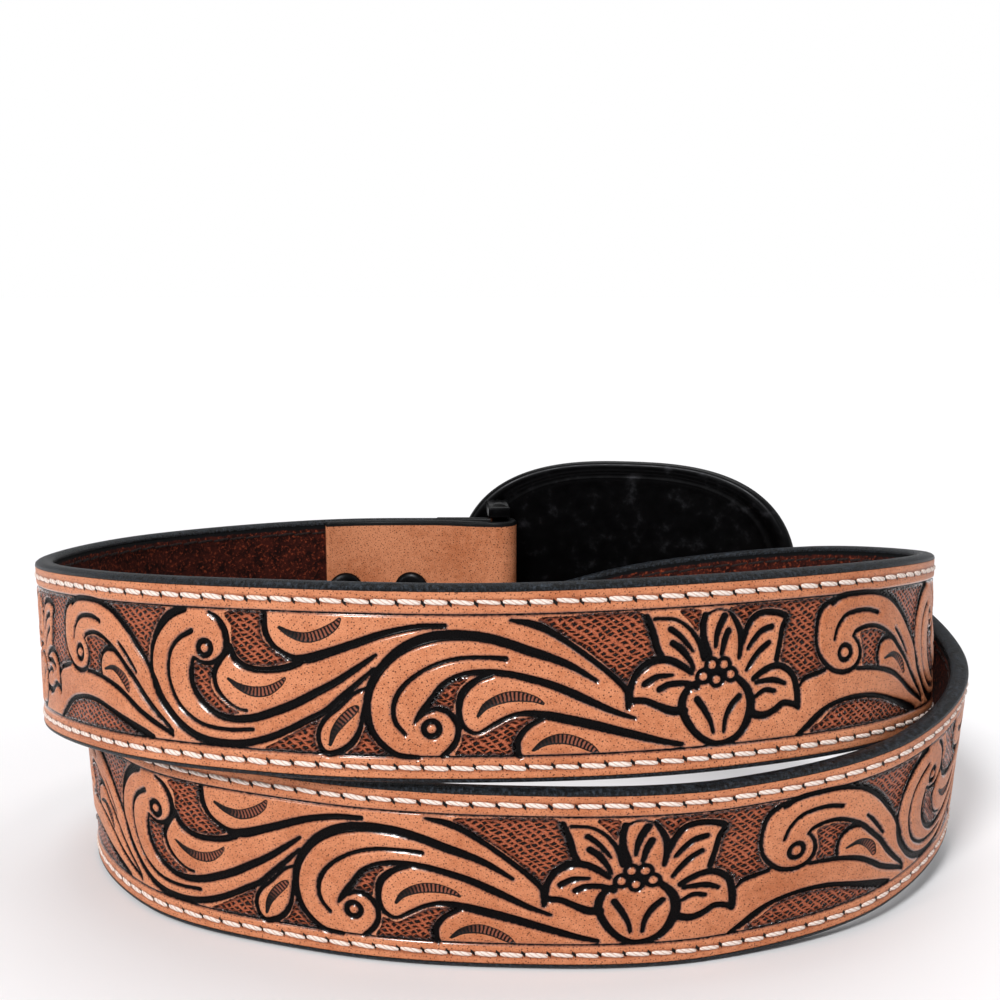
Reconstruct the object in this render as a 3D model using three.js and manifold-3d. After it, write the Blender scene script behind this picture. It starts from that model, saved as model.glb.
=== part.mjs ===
// Western belt: a carved leather strap lined with suede, coiled in two turns and standing on its edge.
// The upper end is folded round the bar of a plate buckle, the lower end is a pointed billet with holes.
// Millimetres, +Z up. The coil rests on the bottom edge of its lower turn.

import * as THREE from "three";
import { mergeVertices } from "three/addons/utils/BufferGeometryUtils.js";
import Module from "manifold-3d";

const wasm = await Module();
wasm.setup();

// Strap, measured across its width and thickness
const STRAP_WIDTH = 38;
const TOOLED_THICKNESS = 2.3;
const LINING_THICKNESS = 1.4;
const LAYER_GAP = 0.3;
const STRAP_THICKNESS = TOOLED_THICKNESS + LAYER_GAP + LINING_THICKNESS;
const EDGE_BEVEL = 0.7;
const BORDER_WIDTH = 5.5;
const GROOVE_HALF_WIDTH = 0.35;
const GROOVE_DEPTH = 0.5;
const PANEL_DEPTH = 0.25;

// Route of the strap's middle line, from the buckle to the billet's tip. The angle is counted round the
// coil, the radius from its middle, the height is the bottom edge's, the lean tips the top edge outward.
const ROUTE_COLUMNS = ["angle", "radius", "height", "lean"];
const ROUTE = [
  [90, 79, 25, 0],
  [120, 97.5, 23.5, 1],
  [150, 106, 25, 1],
  [180, 103.5, 29.5, 1],
  [210, 91.5, 35.5, 0],
  [240, 79.5, 38.4, -2.5],
  [270, 72.5, 38.6, -2],
  [300, 79, 39.4, -2.5],
  [330, 89.5, 37.5, -2],
  [360, 96.5, 31, -1.5],
  [390, 90, 23.5, -1],
  [420, 76, 15, -0.5],
  [450, 68.5, 5, 0],
  [480, 75, 0, 1],
  [510, 88.5, 0, 2],
  [540, 92.5, 0, 3],
  [570, 84.5, 0, 4.5],
  [600, 73.5, 0, 6],
  [630, 71.5, 0, 7.5],
  [660, 79.5, 0, 8],
  [690, 93, 2.5, 7.5],
  [720, 104, 7, 4.5],
  [750, 108, 15, 2],
  [780, 105, 17, 0],
  [810, 98.5, 18, 0],
  [840, 103.5, 18.5, 0],
  [863, 111, 20.5, 0],
];
const STEPS_PER_ROW = 7;

// Billet: the last stretch narrows to a rounded point and carries round holes
const TIP_LENGTH = 22;
const TIP_WIDTH_SHARE = 0.16;
const HOLE_DIAMETER = 4;
const HOLE_COUNT = 5;
const HOLE_SPACING = 25;
const FIRST_HOLE_FROM_TIP = 45;

// Fold of the tooled layer round the buckle's bar, held by two studs
const BAR_RADIUS = 2.2;
const BAR_CLEARANCE = 0.3;
const FOLD_STEPS = 10;
const FOLD_TAPER_LENGTH = 18;
const FOLD_RETURN_STATIONS = 11;
const STUD_DISTANCES = [24, 44];
const STUD_HOLE_DIAMETER = 4.4;
const STUD_SHANK_DIAMETER = 3.8;
const STUD_HEAD_DIAMETER = 9.5;
const STUD_HEAD_HEIGHT = 1.4;
const STUD_SEAT_GAP = 0.3;

// Buckle plate, bent to the coil
const PLATE_HALF_LENGTH = 48;
const PLATE_HALF_HEIGHT = 34;
const PLATE_ROUNDNESS = 2.7;
const PLATE_BEND_RADIUS = 125;
const PLATE_MIDDLE = { x: 35.8, y: 83.8, angle: 77.3, height: 44 };
const PLATE_SIDES = 48;
const PLATE_PROFILE_COLUMNS = ["share", "front", "back"];
const PLATE_PROFILE = [
  [0.3, 1.9, 1.2],
  [0.6, 1.6, 1.2],
  [0.84, 1.2, 1.2],
  [0.88, 1.2, 1.2],
  [0.91, 2.2, 1.2],
  [0.94, 2.3, 1.9],
  [0.98, 2.1, 1.9],
  [1, 1.1, 0.8],
];
const PLATE_CENTRE_FRONT = 2;
const LUG_THICKNESS = 3;
const LUG_WIDTH = 6;
const LUG_SIDE_CLEARANCE = 0.8;
const HOOK_PLACE = 36;
const HOOK_RADIUS = 2;
const HOOK_LENGTH = 6.5;
const HOOK_HEAD_RADIUS = 2.9;

const ROUND_SIDES = 16;
const CUT_OVERRUN = 1;
const CURVE_TENSION = 0.5;

// Offsets across the strap, from its middle line, positive towards the carved face
const FACE = STRAP_THICKNESS / 2;
const TOOLED_BACK = FACE - TOOLED_THICKNESS;
const TOOLED_MIDDLE = (FACE + TOOLED_BACK) / 2;
const LINING_FRONT = TOOLED_BACK - LAYER_GAP;
const LINING_BACK = LINING_FRONT - LINING_THICKNESS;
const FOLD_RADIUS = BAR_RADIUS + BAR_CLEARANCE + TOOLED_THICKNESS / 2;
const RETURN_MIDDLE = LINING_BACK - LAYER_GAP - TOOLED_THICKNESS / 2;

function named(columns, row) {
  return Object.fromEntries(columns.map((column, index) => [column, row[index]]));
}

function material(name, color, roughness, metalness) {
  return new THREE.MeshStandardMaterial({ name, color, roughness, metalness });
}

function toSolid(geometry) {
  const bare = geometry.clone();
  bare.deleteAttribute("normal");
  bare.deleteAttribute("uv");
  const merged = mergeVertices(bare);
  return new wasm.Manifold(new wasm.Mesh({
    numProp: 3,
    vertProperties: new Float32Array(merged.attributes.position.array),
    triVerts: new Uint32Array(merged.index.array),
  }));
}

function toGeometry(solid) {
  const mesh = solid.getMesh();
  const geometry = new THREE.BufferGeometry();
  geometry.setAttribute("position", new THREE.BufferAttribute(mesh.vertProperties, 3));
  geometry.setIndex(new THREE.BufferAttribute(mesh.triVerts, 1));
  geometry.computeVertexNormals();
  return geometry;
}

// The route as two smooth curves through the table's rows: the place of the bottom edge, and the lean
const rows = ROUTE.map((row) => named(ROUTE_COLUMNS, row));
const middleLine = new THREE.CatmullRomCurve3(rows.map((row) => {
  const angle = THREE.MathUtils.degToRad(row.angle);
  return new THREE.Vector3(row.radius * Math.cos(angle), row.radius * Math.sin(angle), row.height);
}), false, "catmullrom", CURVE_TENSION);
const leanLine = new THREE.CatmullRomCurve3(rows.map((row) => {
  return new THREE.Vector3(Math.tan(THREE.MathUtils.degToRad(row.lean)), 0, 0);
}), false, "catmullrom", CURVE_TENSION);
const routeLength = middleLine.getLength();

// One cross-section's place: its point, the way outward across the strap, and the way along it
function stationAt(t) {
  const point = middleLine.getPoint(t);
  point.z = Math.max(0, point.z);
  const along = middleLine.getTangent(t).setZ(0).normalize();
  const outward = new THREE.Vector3(along.y, -along.x, 0);
  return { point, outward, along, lean: leanLine.getPoint(t).x, shift: 0 };
}

function stationAtDistance(distance) {
  return stationAt(middleLine.getUtoTmapping(0, distance));
}

// A corner of the section, set across the strap by offset and up it by height
function sectionCorner(station, offset, height) {
  const across = station.shift + offset + station.lean * (height - STRAP_WIDTH / 2);
  const corner = station.point.clone().addScaledVector(station.outward, across);
  corner.z += height;
  return corner;
}

// A closed skin round a chain of like sections, with flat ends
function loft(stations, sectionOf) {
  const positions = [];
  const indices = [];
  const sections = stations.map(sectionOf);
  const count = sections[0].length;
  stations.forEach((station, i) => {
    sections[i].forEach(([offset, height]) => {
      positions.push(...sectionCorner(station, offset, height).toArray());
    });
  });
  for (let i = 0; i < stations.length - 1; i += 1) {
    for (let j = 0; j < count; j += 1) {
      const near = i * count + j;
      const nearNext = i * count + ((j + 1) % count);
      indices.push(near, near + count, nearNext, nearNext, near + count, nearNext + count);
    }
  }
  const flat = sections[0].map(([offset, height]) => new THREE.Vector2(offset, height));
  const caps = THREE.ShapeUtils.triangulateShape(flat, []);
  const last = (stations.length - 1) * count;
  caps.forEach(([a, b, c]) => indices.push(a, b, c, last + c, last + b, last + a));
  const geometry = new THREE.BufferGeometry();
  geometry.setAttribute("position", new THREE.Float32BufferAttribute(positions, 3));
  geometry.setIndex(indices);
  return geometry;
}

// Share of the full width that is left at a distance from the tip
function widthShare(distanceToTip) {
  if (distanceToTip >= TIP_LENGTH) return 1;
  const gone = 1 - distanceToTip / TIP_LENGTH;
  return TIP_WIDTH_SHARE + (1 - TIP_WIDTH_SHARE) * Math.sqrt(1 - gone * gone);
}

function narrowed(section, share) {
  return section.map(([offset, height]) => {
    return [offset, STRAP_WIDTH / 2 + (height - STRAP_WIDTH / 2) * share];
  });
}

function routeStations() {
  const count = (rows.length - 1) * STEPS_PER_ROW;
  const stations = Array.from({ length: count + 1 }, (_, i) => stationAt(i / count));
  let distance = 0;
  stations.forEach((station, i) => {
    if (i > 0) distance += station.point.distanceTo(stations[i - 1].point);
    station.distance = distance;
  });
  return stations;
}

const stations = routeStations();
const strapLength = stations[stations.length - 1].distance;

// The carved layer: bevelled edges, a flat border, a groove, and the panel a little lower inside it
function tooledSection() {
  const lower = [
    [TOOLED_BACK, 0],
    [FACE - EDGE_BEVEL, 0],
    [FACE, EDGE_BEVEL],
    [FACE, BORDER_WIDTH - GROOVE_HALF_WIDTH],
    [FACE - GROOVE_DEPTH, BORDER_WIDTH],
    [FACE - PANEL_DEPTH, BORDER_WIDTH + GROOVE_HALF_WIDTH],
  ];
  const upper = lower.map(([offset, height]) => [offset, STRAP_WIDTH - height]).reverse();
  return [...lower, ...upper];
}

function liningSection() {
  return [
    [LINING_BACK + EDGE_BEVEL, 0],
    [LINING_FRONT, 0],
    [LINING_FRONT, STRAP_WIDTH],
    [LINING_BACK + EDGE_BEVEL, STRAP_WIDTH],
    [LINING_BACK, STRAP_WIDTH - EDGE_BEVEL],
    [LINING_BACK, EDGE_BEVEL],
  ];
}

// Stations of the fold, from its cut end back to the bar and half way round it
function foldStations() {
  const back = stations.slice(0, FOLD_RETURN_STATIONS).map((station) => {
    const near = Math.max(0, 1 - station.distance / FOLD_TAPER_LENGTH);
    const open = TOOLED_MIDDLE - 2 * FOLD_RADIUS - RETURN_MIDDLE;
    const place = RETURN_MIDDLE + open * near * near * (3 - 2 * near);
    return {
      point: station.point.clone().addScaledVector(station.outward, place),
      outward: station.outward.clone().negate(),
      lean: -station.lean,
      shift: -TOOLED_MIDDLE,
    };
  }).reverse();
  const heel = stations[0];
  const barMiddle = heel.point.clone().addScaledVector(heel.outward, TOOLED_MIDDLE - FOLD_RADIUS);
  const turn = Array.from({ length: FOLD_STEPS - 1 }, (_, i) => {
    const angle = Math.PI * (1 - (i + 1) / FOLD_STEPS);
    const outward = heel.outward.clone().multiplyScalar(Math.cos(angle));
    outward.addScaledVector(heel.along, -Math.sin(angle));
    const point = barMiddle.clone().addScaledVector(outward, FOLD_RADIUS);
    return { point, outward, lean: 0, shift: -TOOLED_MIDDLE };
  });
  return [...back, ...turn];
}

// A round cutter at a distance along the strap, reaching from one offset across it to another
function holeCutter(distance, diameter, from, to) {
  const station = stationAtDistance(distance);
  const cutter = new THREE.CylinderGeometry(diameter / 2, diameter / 2, to - from, ROUND_SIDES);
  const turn = new THREE.Quaternion().setFromUnitVectors(new THREE.Vector3(0, 1, 0), station.outward);
  const middle = sectionCorner(station, (from + to) / 2, STRAP_WIDTH / 2);
  cutter.applyQuaternion(turn).translate(middle.x, middle.y, middle.z);
  return toSolid(cutter);
}

function punched(geometry) {
  let solid = toSolid(geometry);
  for (let i = 0; i < HOLE_COUNT; i += 1) {
    const distance = strapLength - FIRST_HOLE_FROM_TIP - i * HOLE_SPACING;
    solid = solid.subtract(holeCutter(distance, HOLE_DIAMETER, LINING_BACK - CUT_OVERRUN, FACE + CUT_OVERRUN));
  }
  const foldInside = RETURN_MIDDLE - TOOLED_THICKNESS / 2;
  STUD_DISTANCES.forEach((distance) => {
    const cutter = holeCutter(distance, STUD_HOLE_DIAMETER, foldInside - CUT_OVERRUN, FACE + CUT_OVERRUN);
    solid = solid.subtract(cutter);
  });
  return toGeometry(solid);
}

function tooledStrap() {
  const section = tooledSection();
  const geometry = loft([...foldStations(), ...stations], (station) => {
    const toTip = station.distance === undefined ? TIP_LENGTH : strapLength - station.distance;
    return narrowed(section, widthShare(toTip));
  });
  return new THREE.Mesh(punched(geometry), material("tooled leather", 0xb97850, 0.5, 0));
}

function strapLining() {
  const section = liningSection();
  const lined = stations.filter((station) => station.distance >= FOLD_TAPER_LENGTH);
  const geometry = loft(lined, (station) => {
    return narrowed(section, widthShare(strapLength - station.distance));
  });
  return new THREE.Mesh(punched(geometry), material("suede", 0x50231a, 0.95, 0));
}

// A stud with a flat head on the carved side and another on the folded-back end
function foldStud(distance) {
  const station = stationAtDistance(distance);
  const outer = FACE - PANEL_DEPTH + STUD_SEAT_GAP;
  const inner = RETURN_MIDDLE - TOOLED_THICKNESS / 2 - STUD_SEAT_GAP;
  const head = STUD_HEAD_DIAMETER / 2;
  const shank = STUD_SHANK_DIAMETER / 2;
  const profile = [
    [0, inner - STUD_HEAD_HEIGHT],
    [head - EDGE_BEVEL, inner - STUD_HEAD_HEIGHT],
    [head, inner - STUD_HEAD_HEIGHT / 2],
    [head, inner],
    [shank, inner],
    [shank, outer],
    [head, outer],
    [head, outer + STUD_HEAD_HEIGHT / 2],
    [head - EDGE_BEVEL, outer + STUD_HEAD_HEIGHT],
    [0, outer + STUD_HEAD_HEIGHT],
  ].map(([radius, height]) => new THREE.Vector2(radius, height));
  const geometry = new THREE.LatheGeometry(profile, ROUND_SIDES);
  const turn = new THREE.Quaternion().setFromUnitVectors(new THREE.Vector3(0, 1, 0), station.outward);
  const middle = sectionCorner(station, 0, STRAP_WIDTH / 2);
  geometry.applyQuaternion(turn).translate(middle.x, middle.y, middle.z);
  return new THREE.Mesh(geometry, material("dark metal", 0x1b1c1f, 0.35, 0.8));
}

// The plate's own frame: its bend centre, the way out of its middle, and the way along it
const plateOut = new THREE.Vector3(1, 0, 0)
  .applyAxisAngle(new THREE.Vector3(0, 0, 1), THREE.MathUtils.degToRad(PLATE_MIDDLE.angle));
const plateAlong = new THREE.Vector3(plateOut.y, -plateOut.x, 0);
const bendCentre = new THREE.Vector3(PLATE_MIDDLE.x, PLATE_MIDDLE.y, PLATE_MIDDLE.height)
  .addScaledVector(plateOut, -PLATE_BEND_RADIUS);

function plateNormal(along) {
  const angle = along / PLATE_BEND_RADIUS;
  return plateOut.clone().multiplyScalar(Math.cos(angle)).addScaledVector(plateAlong, Math.sin(angle));
}

function platePoint(along, height, offset) {
  const point = bendCentre.clone().addScaledVector(plateNormal(along), PLATE_BEND_RADIUS + offset);
  point.z += height;
  return point;
}

function roundedPower(value) {
  return Math.sign(value) * Math.abs(value) ** (2 / PLATE_ROUNDNESS);
}

// The bent plate: rings of its rounded outline, front and back, with a raised rim on both
function plateSolid() {
  const profile = PLATE_PROFILE.map((row) => named(PLATE_PROFILE_COLUMNS, row));
  const rings = [...profile.map(({ share, front }) => [share, front]),
    ...profile.map(({ share, back }) => [share, -back]).reverse()];
  const positions = [platePoint(0, 0, PLATE_CENTRE_FRONT)];
  rings.forEach(([share, offset]) => {
    for (let i = 0; i < PLATE_SIDES; i += 1) {
      const angle = (2 * Math.PI * i) / PLATE_SIDES;
      const along = PLATE_HALF_LENGTH * share * roundedPower(Math.cos(angle));
      const height = PLATE_HALF_HEIGHT * share * roundedPower(Math.sin(angle));
      positions.push(platePoint(along, height, offset));
    }
  });
  positions.push(platePoint(0, 0, -profile[0].back));
  const indices = [];
  const last = positions.length - 1;
  for (let i = 0; i < PLATE_SIDES; i += 1) {
    const next = (i + 1) % PLATE_SIDES;
    indices.push(0, 1 + next, 1 + i);
    for (let ring = 0; ring < rings.length - 1; ring += 1) {
      const a = 1 + ring * PLATE_SIDES;
      const b = a + PLATE_SIDES;
      indices.push(a + i, a + next, b + i, a + next, b + next, b + i);
    }
    const end = 1 + (rings.length - 1) * PLATE_SIDES;
    indices.push(last, end + i, end + next);
  }
  const geometry = new THREE.BufferGeometry();
  geometry.setAttribute("position", new THREE.Float32BufferAttribute(positions.flatMap((p) => p.toArray()), 3));
  geometry.setIndex(indices);
  return toSolid(geometry);
}

// The bar that the strap folds round, between two lugs on the plate's back
function barAndLugs() {
  const heel = stations[0];
  const bar = heel.point.clone().addScaledVector(heel.outward, TOOLED_MIDDLE - FOLD_RADIUS);
  const halfSpan = STRAP_WIDTH / 2 + LUG_SIDE_CLEARANCE + LUG_THICKNESS;
  const rod = new THREE.CylinderGeometry(BAR_RADIUS, BAR_RADIUS, 2 * halfSpan, ROUND_SIDES);
  rod.rotateX(Math.PI / 2).translate(bar.x, bar.y, heel.point.z + STRAP_WIDTH / 2);
  let solid = toSolid(rod);
  const fromCentre = bar.clone().sub(bendCentre).setZ(0);
  const along = Math.atan2(fromCentre.dot(plateAlong), fromCentre.dot(plateOut)) * PLATE_BEND_RADIUS;
  const normal = plateNormal(along);
  const reach = PLATE_BEND_RADIUS - fromCentre.length();
  [-1, 1].forEach((side) => {
    const length = reach + LUG_WIDTH / 2;
    const lug = new THREE.BoxGeometry(length, LUG_WIDTH, LUG_THICKNESS);
    lug.translate(reach - length / 2, 0, side * (halfSpan - LUG_THICKNESS / 2));
    lug.rotateZ(Math.atan2(normal.y, normal.x));
    lug.translate(bar.x, bar.y, heel.point.z + STRAP_WIDTH / 2);
    solid = solid.add(toSolid(lug));
  });
  return solid;
}

// A blunt hook near the plate's free end, which goes through a hole of the billet when worn
function hookSolid() {
  const foot = platePoint(HOOK_PLACE, 0, 0);
  const inward = plateNormal(HOOK_PLACE).negate();
  const turn = new THREE.Quaternion().setFromUnitVectors(new THREE.Vector3(0, 1, 0), inward);
  const peg = new THREE.CylinderGeometry(HOOK_RADIUS, HOOK_RADIUS, HOOK_LENGTH, ROUND_SIDES);
  peg.translate(0, HOOK_LENGTH / 2, 0).applyQuaternion(turn).translate(foot.x, foot.y, foot.z);
  const knob = new THREE.SphereGeometry(HOOK_HEAD_RADIUS, ROUND_SIDES, ROUND_SIDES / 2);
  const tip = foot.clone().addScaledVector(inward, HOOK_LENGTH);
  knob.translate(tip.x, tip.y, tip.z);
  return toSolid(peg).add(toSolid(knob));
}

function buckle() {
  const solid = plateSolid().add(barAndLugs()).add(hookSolid());
  return new THREE.Mesh(toGeometry(solid), material("dark metal", 0x17181a, 0.3, 0.85));
}

const belt = new THREE.Group();
const parts = { tooled_strap: tooledStrap(), strap_lining: strapLining(), buckle: buckle() };
STUD_DISTANCES.forEach((distance, i) => {
  parts[`fold_stud_${i + 1}`] = foldStud(distance);
});
Object.entries(parts).forEach(([name, mesh]) => {
  mesh.name = name;
  belt.add(mesh);
});

// The origin is the middle of the belt's foot
const box = new THREE.Box3().setFromObject(belt);
const middle = box.getCenter(new THREE.Vector3());
belt.position.set(-middle.x, -middle.y, -box.min.z);

export default belt;
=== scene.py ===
import math

import bpy
import numpy as np
from mathutils import Matrix


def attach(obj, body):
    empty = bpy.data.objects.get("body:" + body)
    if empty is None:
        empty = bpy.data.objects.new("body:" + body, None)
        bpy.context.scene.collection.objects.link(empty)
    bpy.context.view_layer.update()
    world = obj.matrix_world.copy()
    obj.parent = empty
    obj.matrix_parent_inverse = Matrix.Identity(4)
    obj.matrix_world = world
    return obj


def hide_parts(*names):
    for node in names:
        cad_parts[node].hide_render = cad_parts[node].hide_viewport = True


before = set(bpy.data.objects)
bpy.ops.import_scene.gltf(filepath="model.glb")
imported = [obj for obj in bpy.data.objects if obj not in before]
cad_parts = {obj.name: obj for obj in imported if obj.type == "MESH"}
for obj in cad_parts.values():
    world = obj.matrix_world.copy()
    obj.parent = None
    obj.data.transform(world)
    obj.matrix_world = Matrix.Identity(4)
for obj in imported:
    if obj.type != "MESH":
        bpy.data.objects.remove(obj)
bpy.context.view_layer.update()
bpy.ops.object.select_all(action="DESELECT")

# The tooled strap is one long strip of vegetable-tanned leather, 38 mm wide, on its edge in two turns. It is
# cut and carved flat, then bent on to its route. All places on it are in millimetres: along it from the heel
# at the buckle's bar, across it from the bottom edge, and out from its middle line.
MM = 0.001
STRAP_WIDTH = 38.0
STRAP_MIDDLE = STRAP_WIDTH / 2
FACE = 2.0
FACE_LAYER = 2.3
LAYER_GAP = 0.3
LINING_FRONT = FACE - FACE_LAYER - LAYER_GAP
LINING_BACK = -2.0
FACE_LAYER_MIDDLE = FACE - FACE_LAYER / 2

# angle round the coil, radius, height of the bottom edge and outward lean
ROUTE = np.array([
    (90, 79, 25, 0),
    (120, 97.5, 23.5, 1),
    (150, 106, 25, 1),
    (180, 103.5, 29.5, 1),
    (210, 91.5, 35.5, 0),
    (240, 79.5, 38.4, -2.5),
    (270, 72.5, 38.6, -2),
    (300, 79, 39.4, -2.5),
    (330, 89.5, 37.5, -2),
    (360, 96.5, 31, -1.5),
    (390, 90, 23.5, -1),
    (420, 76, 15, -0.5),
    (450, 68.5, 5, 0),
    (480, 75, 0, 1),
    (510, 88.5, 0, 2),
    (540, 92.5, 0, 3),
    (570, 84.5, 0, 4.5),
    (600, 73.5, 0, 6),
    (630, 71.5, 0, 7.5),
    (660, 79.5, 0, 8),
    (690, 93, 2.5, 7.5),
    (720, 104, 7, 4.5),
    (750, 108, 15, 2),
    (780, 105, 17, 0),
    (810, 98.5, 18, 0),
    (840, 103.5, 18.5, 0),
    (863, 111, 20.5, 0),
], float)
ROUTE_STEPS = 200
TIP_LENGTH = 22.0
TIP_WIDTH_SHARE = 0.16
BAR_RADIUS = 2.2
BAR_CLEARANCE = 0.3
FOLD_RADIUS = BAR_RADIUS + BAR_CLEARANCE + FACE_LAYER / 2
FOLD_TAPER = 18.0
FOLD_RETURN = 50.0
FOLD_STEPS = 40
RETURN_MIDDLE = LINING_BACK - LAYER_GAP - FACE_LAYER / 2


def smooth_line(rows, steps):
    """Points on the smooth curve through the rows, and the last row."""
    ends = np.vstack([2 * rows[0] - rows[1], rows, 2 * rows[-1] - rows[-2]])
    a, b, c, d = ends[:-3, None], ends[1:-2, None], ends[2:-1, None], ends[3:, None]
    t = np.linspace(0, 1, steps, endpoint=False)[None, :, None]
    bend = (2 * a - 5 * b + 4 * c - d) * t**2 + (3 * b - a - 3 * c + d) * t**3
    curve = 0.5 * (2 * b + (c - a) * t + bend)
    return np.vstack([curve.reshape(-1, rows.shape[1]), rows[-1:]])


def strap_route():
    """The stations of the strap's bottom edge: distance, place, way out, lean and way along of each."""
    angle = np.radians(ROUTE[:, 0])
    plan = ROUTE[:, 1, None] * np.column_stack([np.cos(angle), np.sin(angle)])
    lean = np.tan(np.radians(ROUTE[:, 3]))
    line = smooth_line(np.column_stack([plan, ROUTE[:, 2], lean]), ROUTE_STEPS)
    line[:, 2] = np.maximum(line[:, 2], 0)
    along = np.gradient(line[:, :2], axis=0)
    along /= np.linalg.norm(along, axis=1)[:, None]
    outward = np.column_stack([along[:, 1], -along[:, 0]])
    distance = np.concatenate([[0], np.cumsum(np.linalg.norm(np.diff(line[:, :3], axis=0), axis=1))])
    return distance, line[:, :3], outward, line[:, 3], along


def with_fold(distance, place, outward, lean, along):
    """The same stations with the folded end before them, at distances below nought."""
    bar = place[0, :2] + outward[0] * (FACE_LAYER_MIDDLE - FOLD_RADIUS)
    turn = np.linspace(math.pi, 0, FOLD_STEPS, endpoint=False)
    turn_out = np.cos(turn)[:, None] * outward[0] - np.sin(turn)[:, None] * along[0]
    turn_plan = bar + turn_out * (FOLD_RADIUS - FACE_LAYER_MIDDLE)
    turn_distance = -turn * FOLD_RADIUS
    back = (distance > 0) & (distance < FOLD_RETURN)
    near = np.maximum(0, 1 - distance[back] / FOLD_TAPER)
    open_by = FACE_LAYER_MIDDLE - 2 * FOLD_RADIUS - RETURN_MIDDLE
    offset = RETURN_MIDDLE + open_by * near**2 * (3 - 2 * near) + FACE_LAYER_MIDDLE
    back_plan = place[back, :2] + outward[back] * offset[:, None]
    back_place = np.column_stack([back_plan, place[back, 2]])[::-1]
    turn_place = np.column_stack([turn_plan, np.full(len(turn), place[0, 2])])
    return (
        np.concatenate([(turn_distance[0] - distance[back])[::-1], turn_distance, distance]),
        np.vstack([back_place, turn_place, place]),
        np.vstack([-outward[back][::-1], turn_out, outward]),
        np.concatenate([-lean[back][::-1], np.zeros(len(turn)), lean]),
    )


route = strap_route()
strap_length = route[0][-1]
distances, places, outwards, leans = with_fold(*route)
edges = [places[:, :2] + outwards * (side * FACE + leans * share * STRAP_MIDDLE)[:, None]
         for side in (-1, 1) for share in (-1, 1)]
coil_middle = (np.vstack(edges).min(0) + np.vstack(edges).max(0)) / 2
places[:, :2] -= coil_middle


def width_share(along):
    """How much of the width is left at a distance along the strap, which narrows to the billet's tip."""
    gone = np.clip(1 - (strap_length - along) / TIP_LENGTH, 0, 1)
    return TIP_WIDTH_SHARE + (1 - TIP_WIDTH_SHARE) * np.sqrt(1 - gone**2)


def laid(flat):
    """Places on the coil, in metres, of points given along, across and out of the flat strap."""
    along, across, out = flat.T
    x, y, z = (np.interp(along, distances, places[:, i]) for i in range(3))
    out_x, out_y = (np.interp(along, distances, outwards[:, i]) for i in range(2))
    stretch = 1 / np.hypot(out_x, out_y)
    reach = (out + np.interp(along, distances, leans) * (across - STRAP_MIDDLE)) * stretch
    return np.column_stack([x + out_x * reach, y + out_y * reach, z + across]) * MM


def places_of(piece):
    """The places of a mesh's points, as rows."""
    found = np.empty(len(piece.data.vertices) * 3)
    piece.data.vertices.foreach_get("co", found)
    return found.reshape(-1, 3)


def move_to(piece, wanted):
    """Moves a mesh's points to these places."""
    piece.data.vertices.foreach_set("co", np.ascontiguousarray(wanted).ravel())
    piece.data.update()


def note_on(piece, name, values):
    """Keeps one number or three on each point of a mesh, for its material."""
    kind, part = ("FLOAT_VECTOR", "vector") if values.ndim == 2 else ("FLOAT", "value")
    note = piece.data.attributes.new(name, kind, "POINT")
    note.data.foreach_set(part, np.ascontiguousarray(values).ravel())


def lay_on_route(piece, inset=0.0):
    """Bends a flat piece on to the coil, drawn in to the tip, and keeps its flat places for its material.
    A piece that ends short of the strap's edges by an inset stays that far from them along the tip."""
    flat = places_of(piece)
    note_on(piece, "flat", flat)
    share = (STRAP_MIDDLE * width_share(flat[:, 0]) - inset) / (STRAP_MIDDLE - inset)
    flat[:, 1] = STRAP_MIDDLE + (flat[:, 1] - STRAP_MIDDLE) * share
    move_to(piece, laid(flat))


def new_piece(name, points, faces):
    """A smooth mesh object from its points and faces."""
    mesh = bpy.data.meshes.new(name)
    mesh.from_pydata(points.tolist(), [], faces)
    mesh.shade_smooth()
    piece = bpy.data.objects.new(name, mesh)
    bpy.context.scene.collection.objects.link(piece)
    return piece


def bar_along(name, alongs, section):
    """A closed bar: a ring of (across, out) points, repeated at each distance along the strap."""
    rows, ring = len(alongs), len(section)
    points = np.empty((rows, ring, 3))
    points[:, :, 0] = np.asarray(alongs)[:, None]
    points[:, :, 1:] = section
    first = np.arange((rows - 1) * ring).reshape(-1, ring)
    following = np.roll(first, -1, axis=1)
    sides = np.stack([first, following, following + ring, first + ring], -1).reshape(-1, 4).tolist()
    ends = [list(range(ring))[::-1], list(range((rows - 1) * ring, rows * ring))]
    return new_piece(name, points.reshape(-1, 3), sides + ends)


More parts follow.
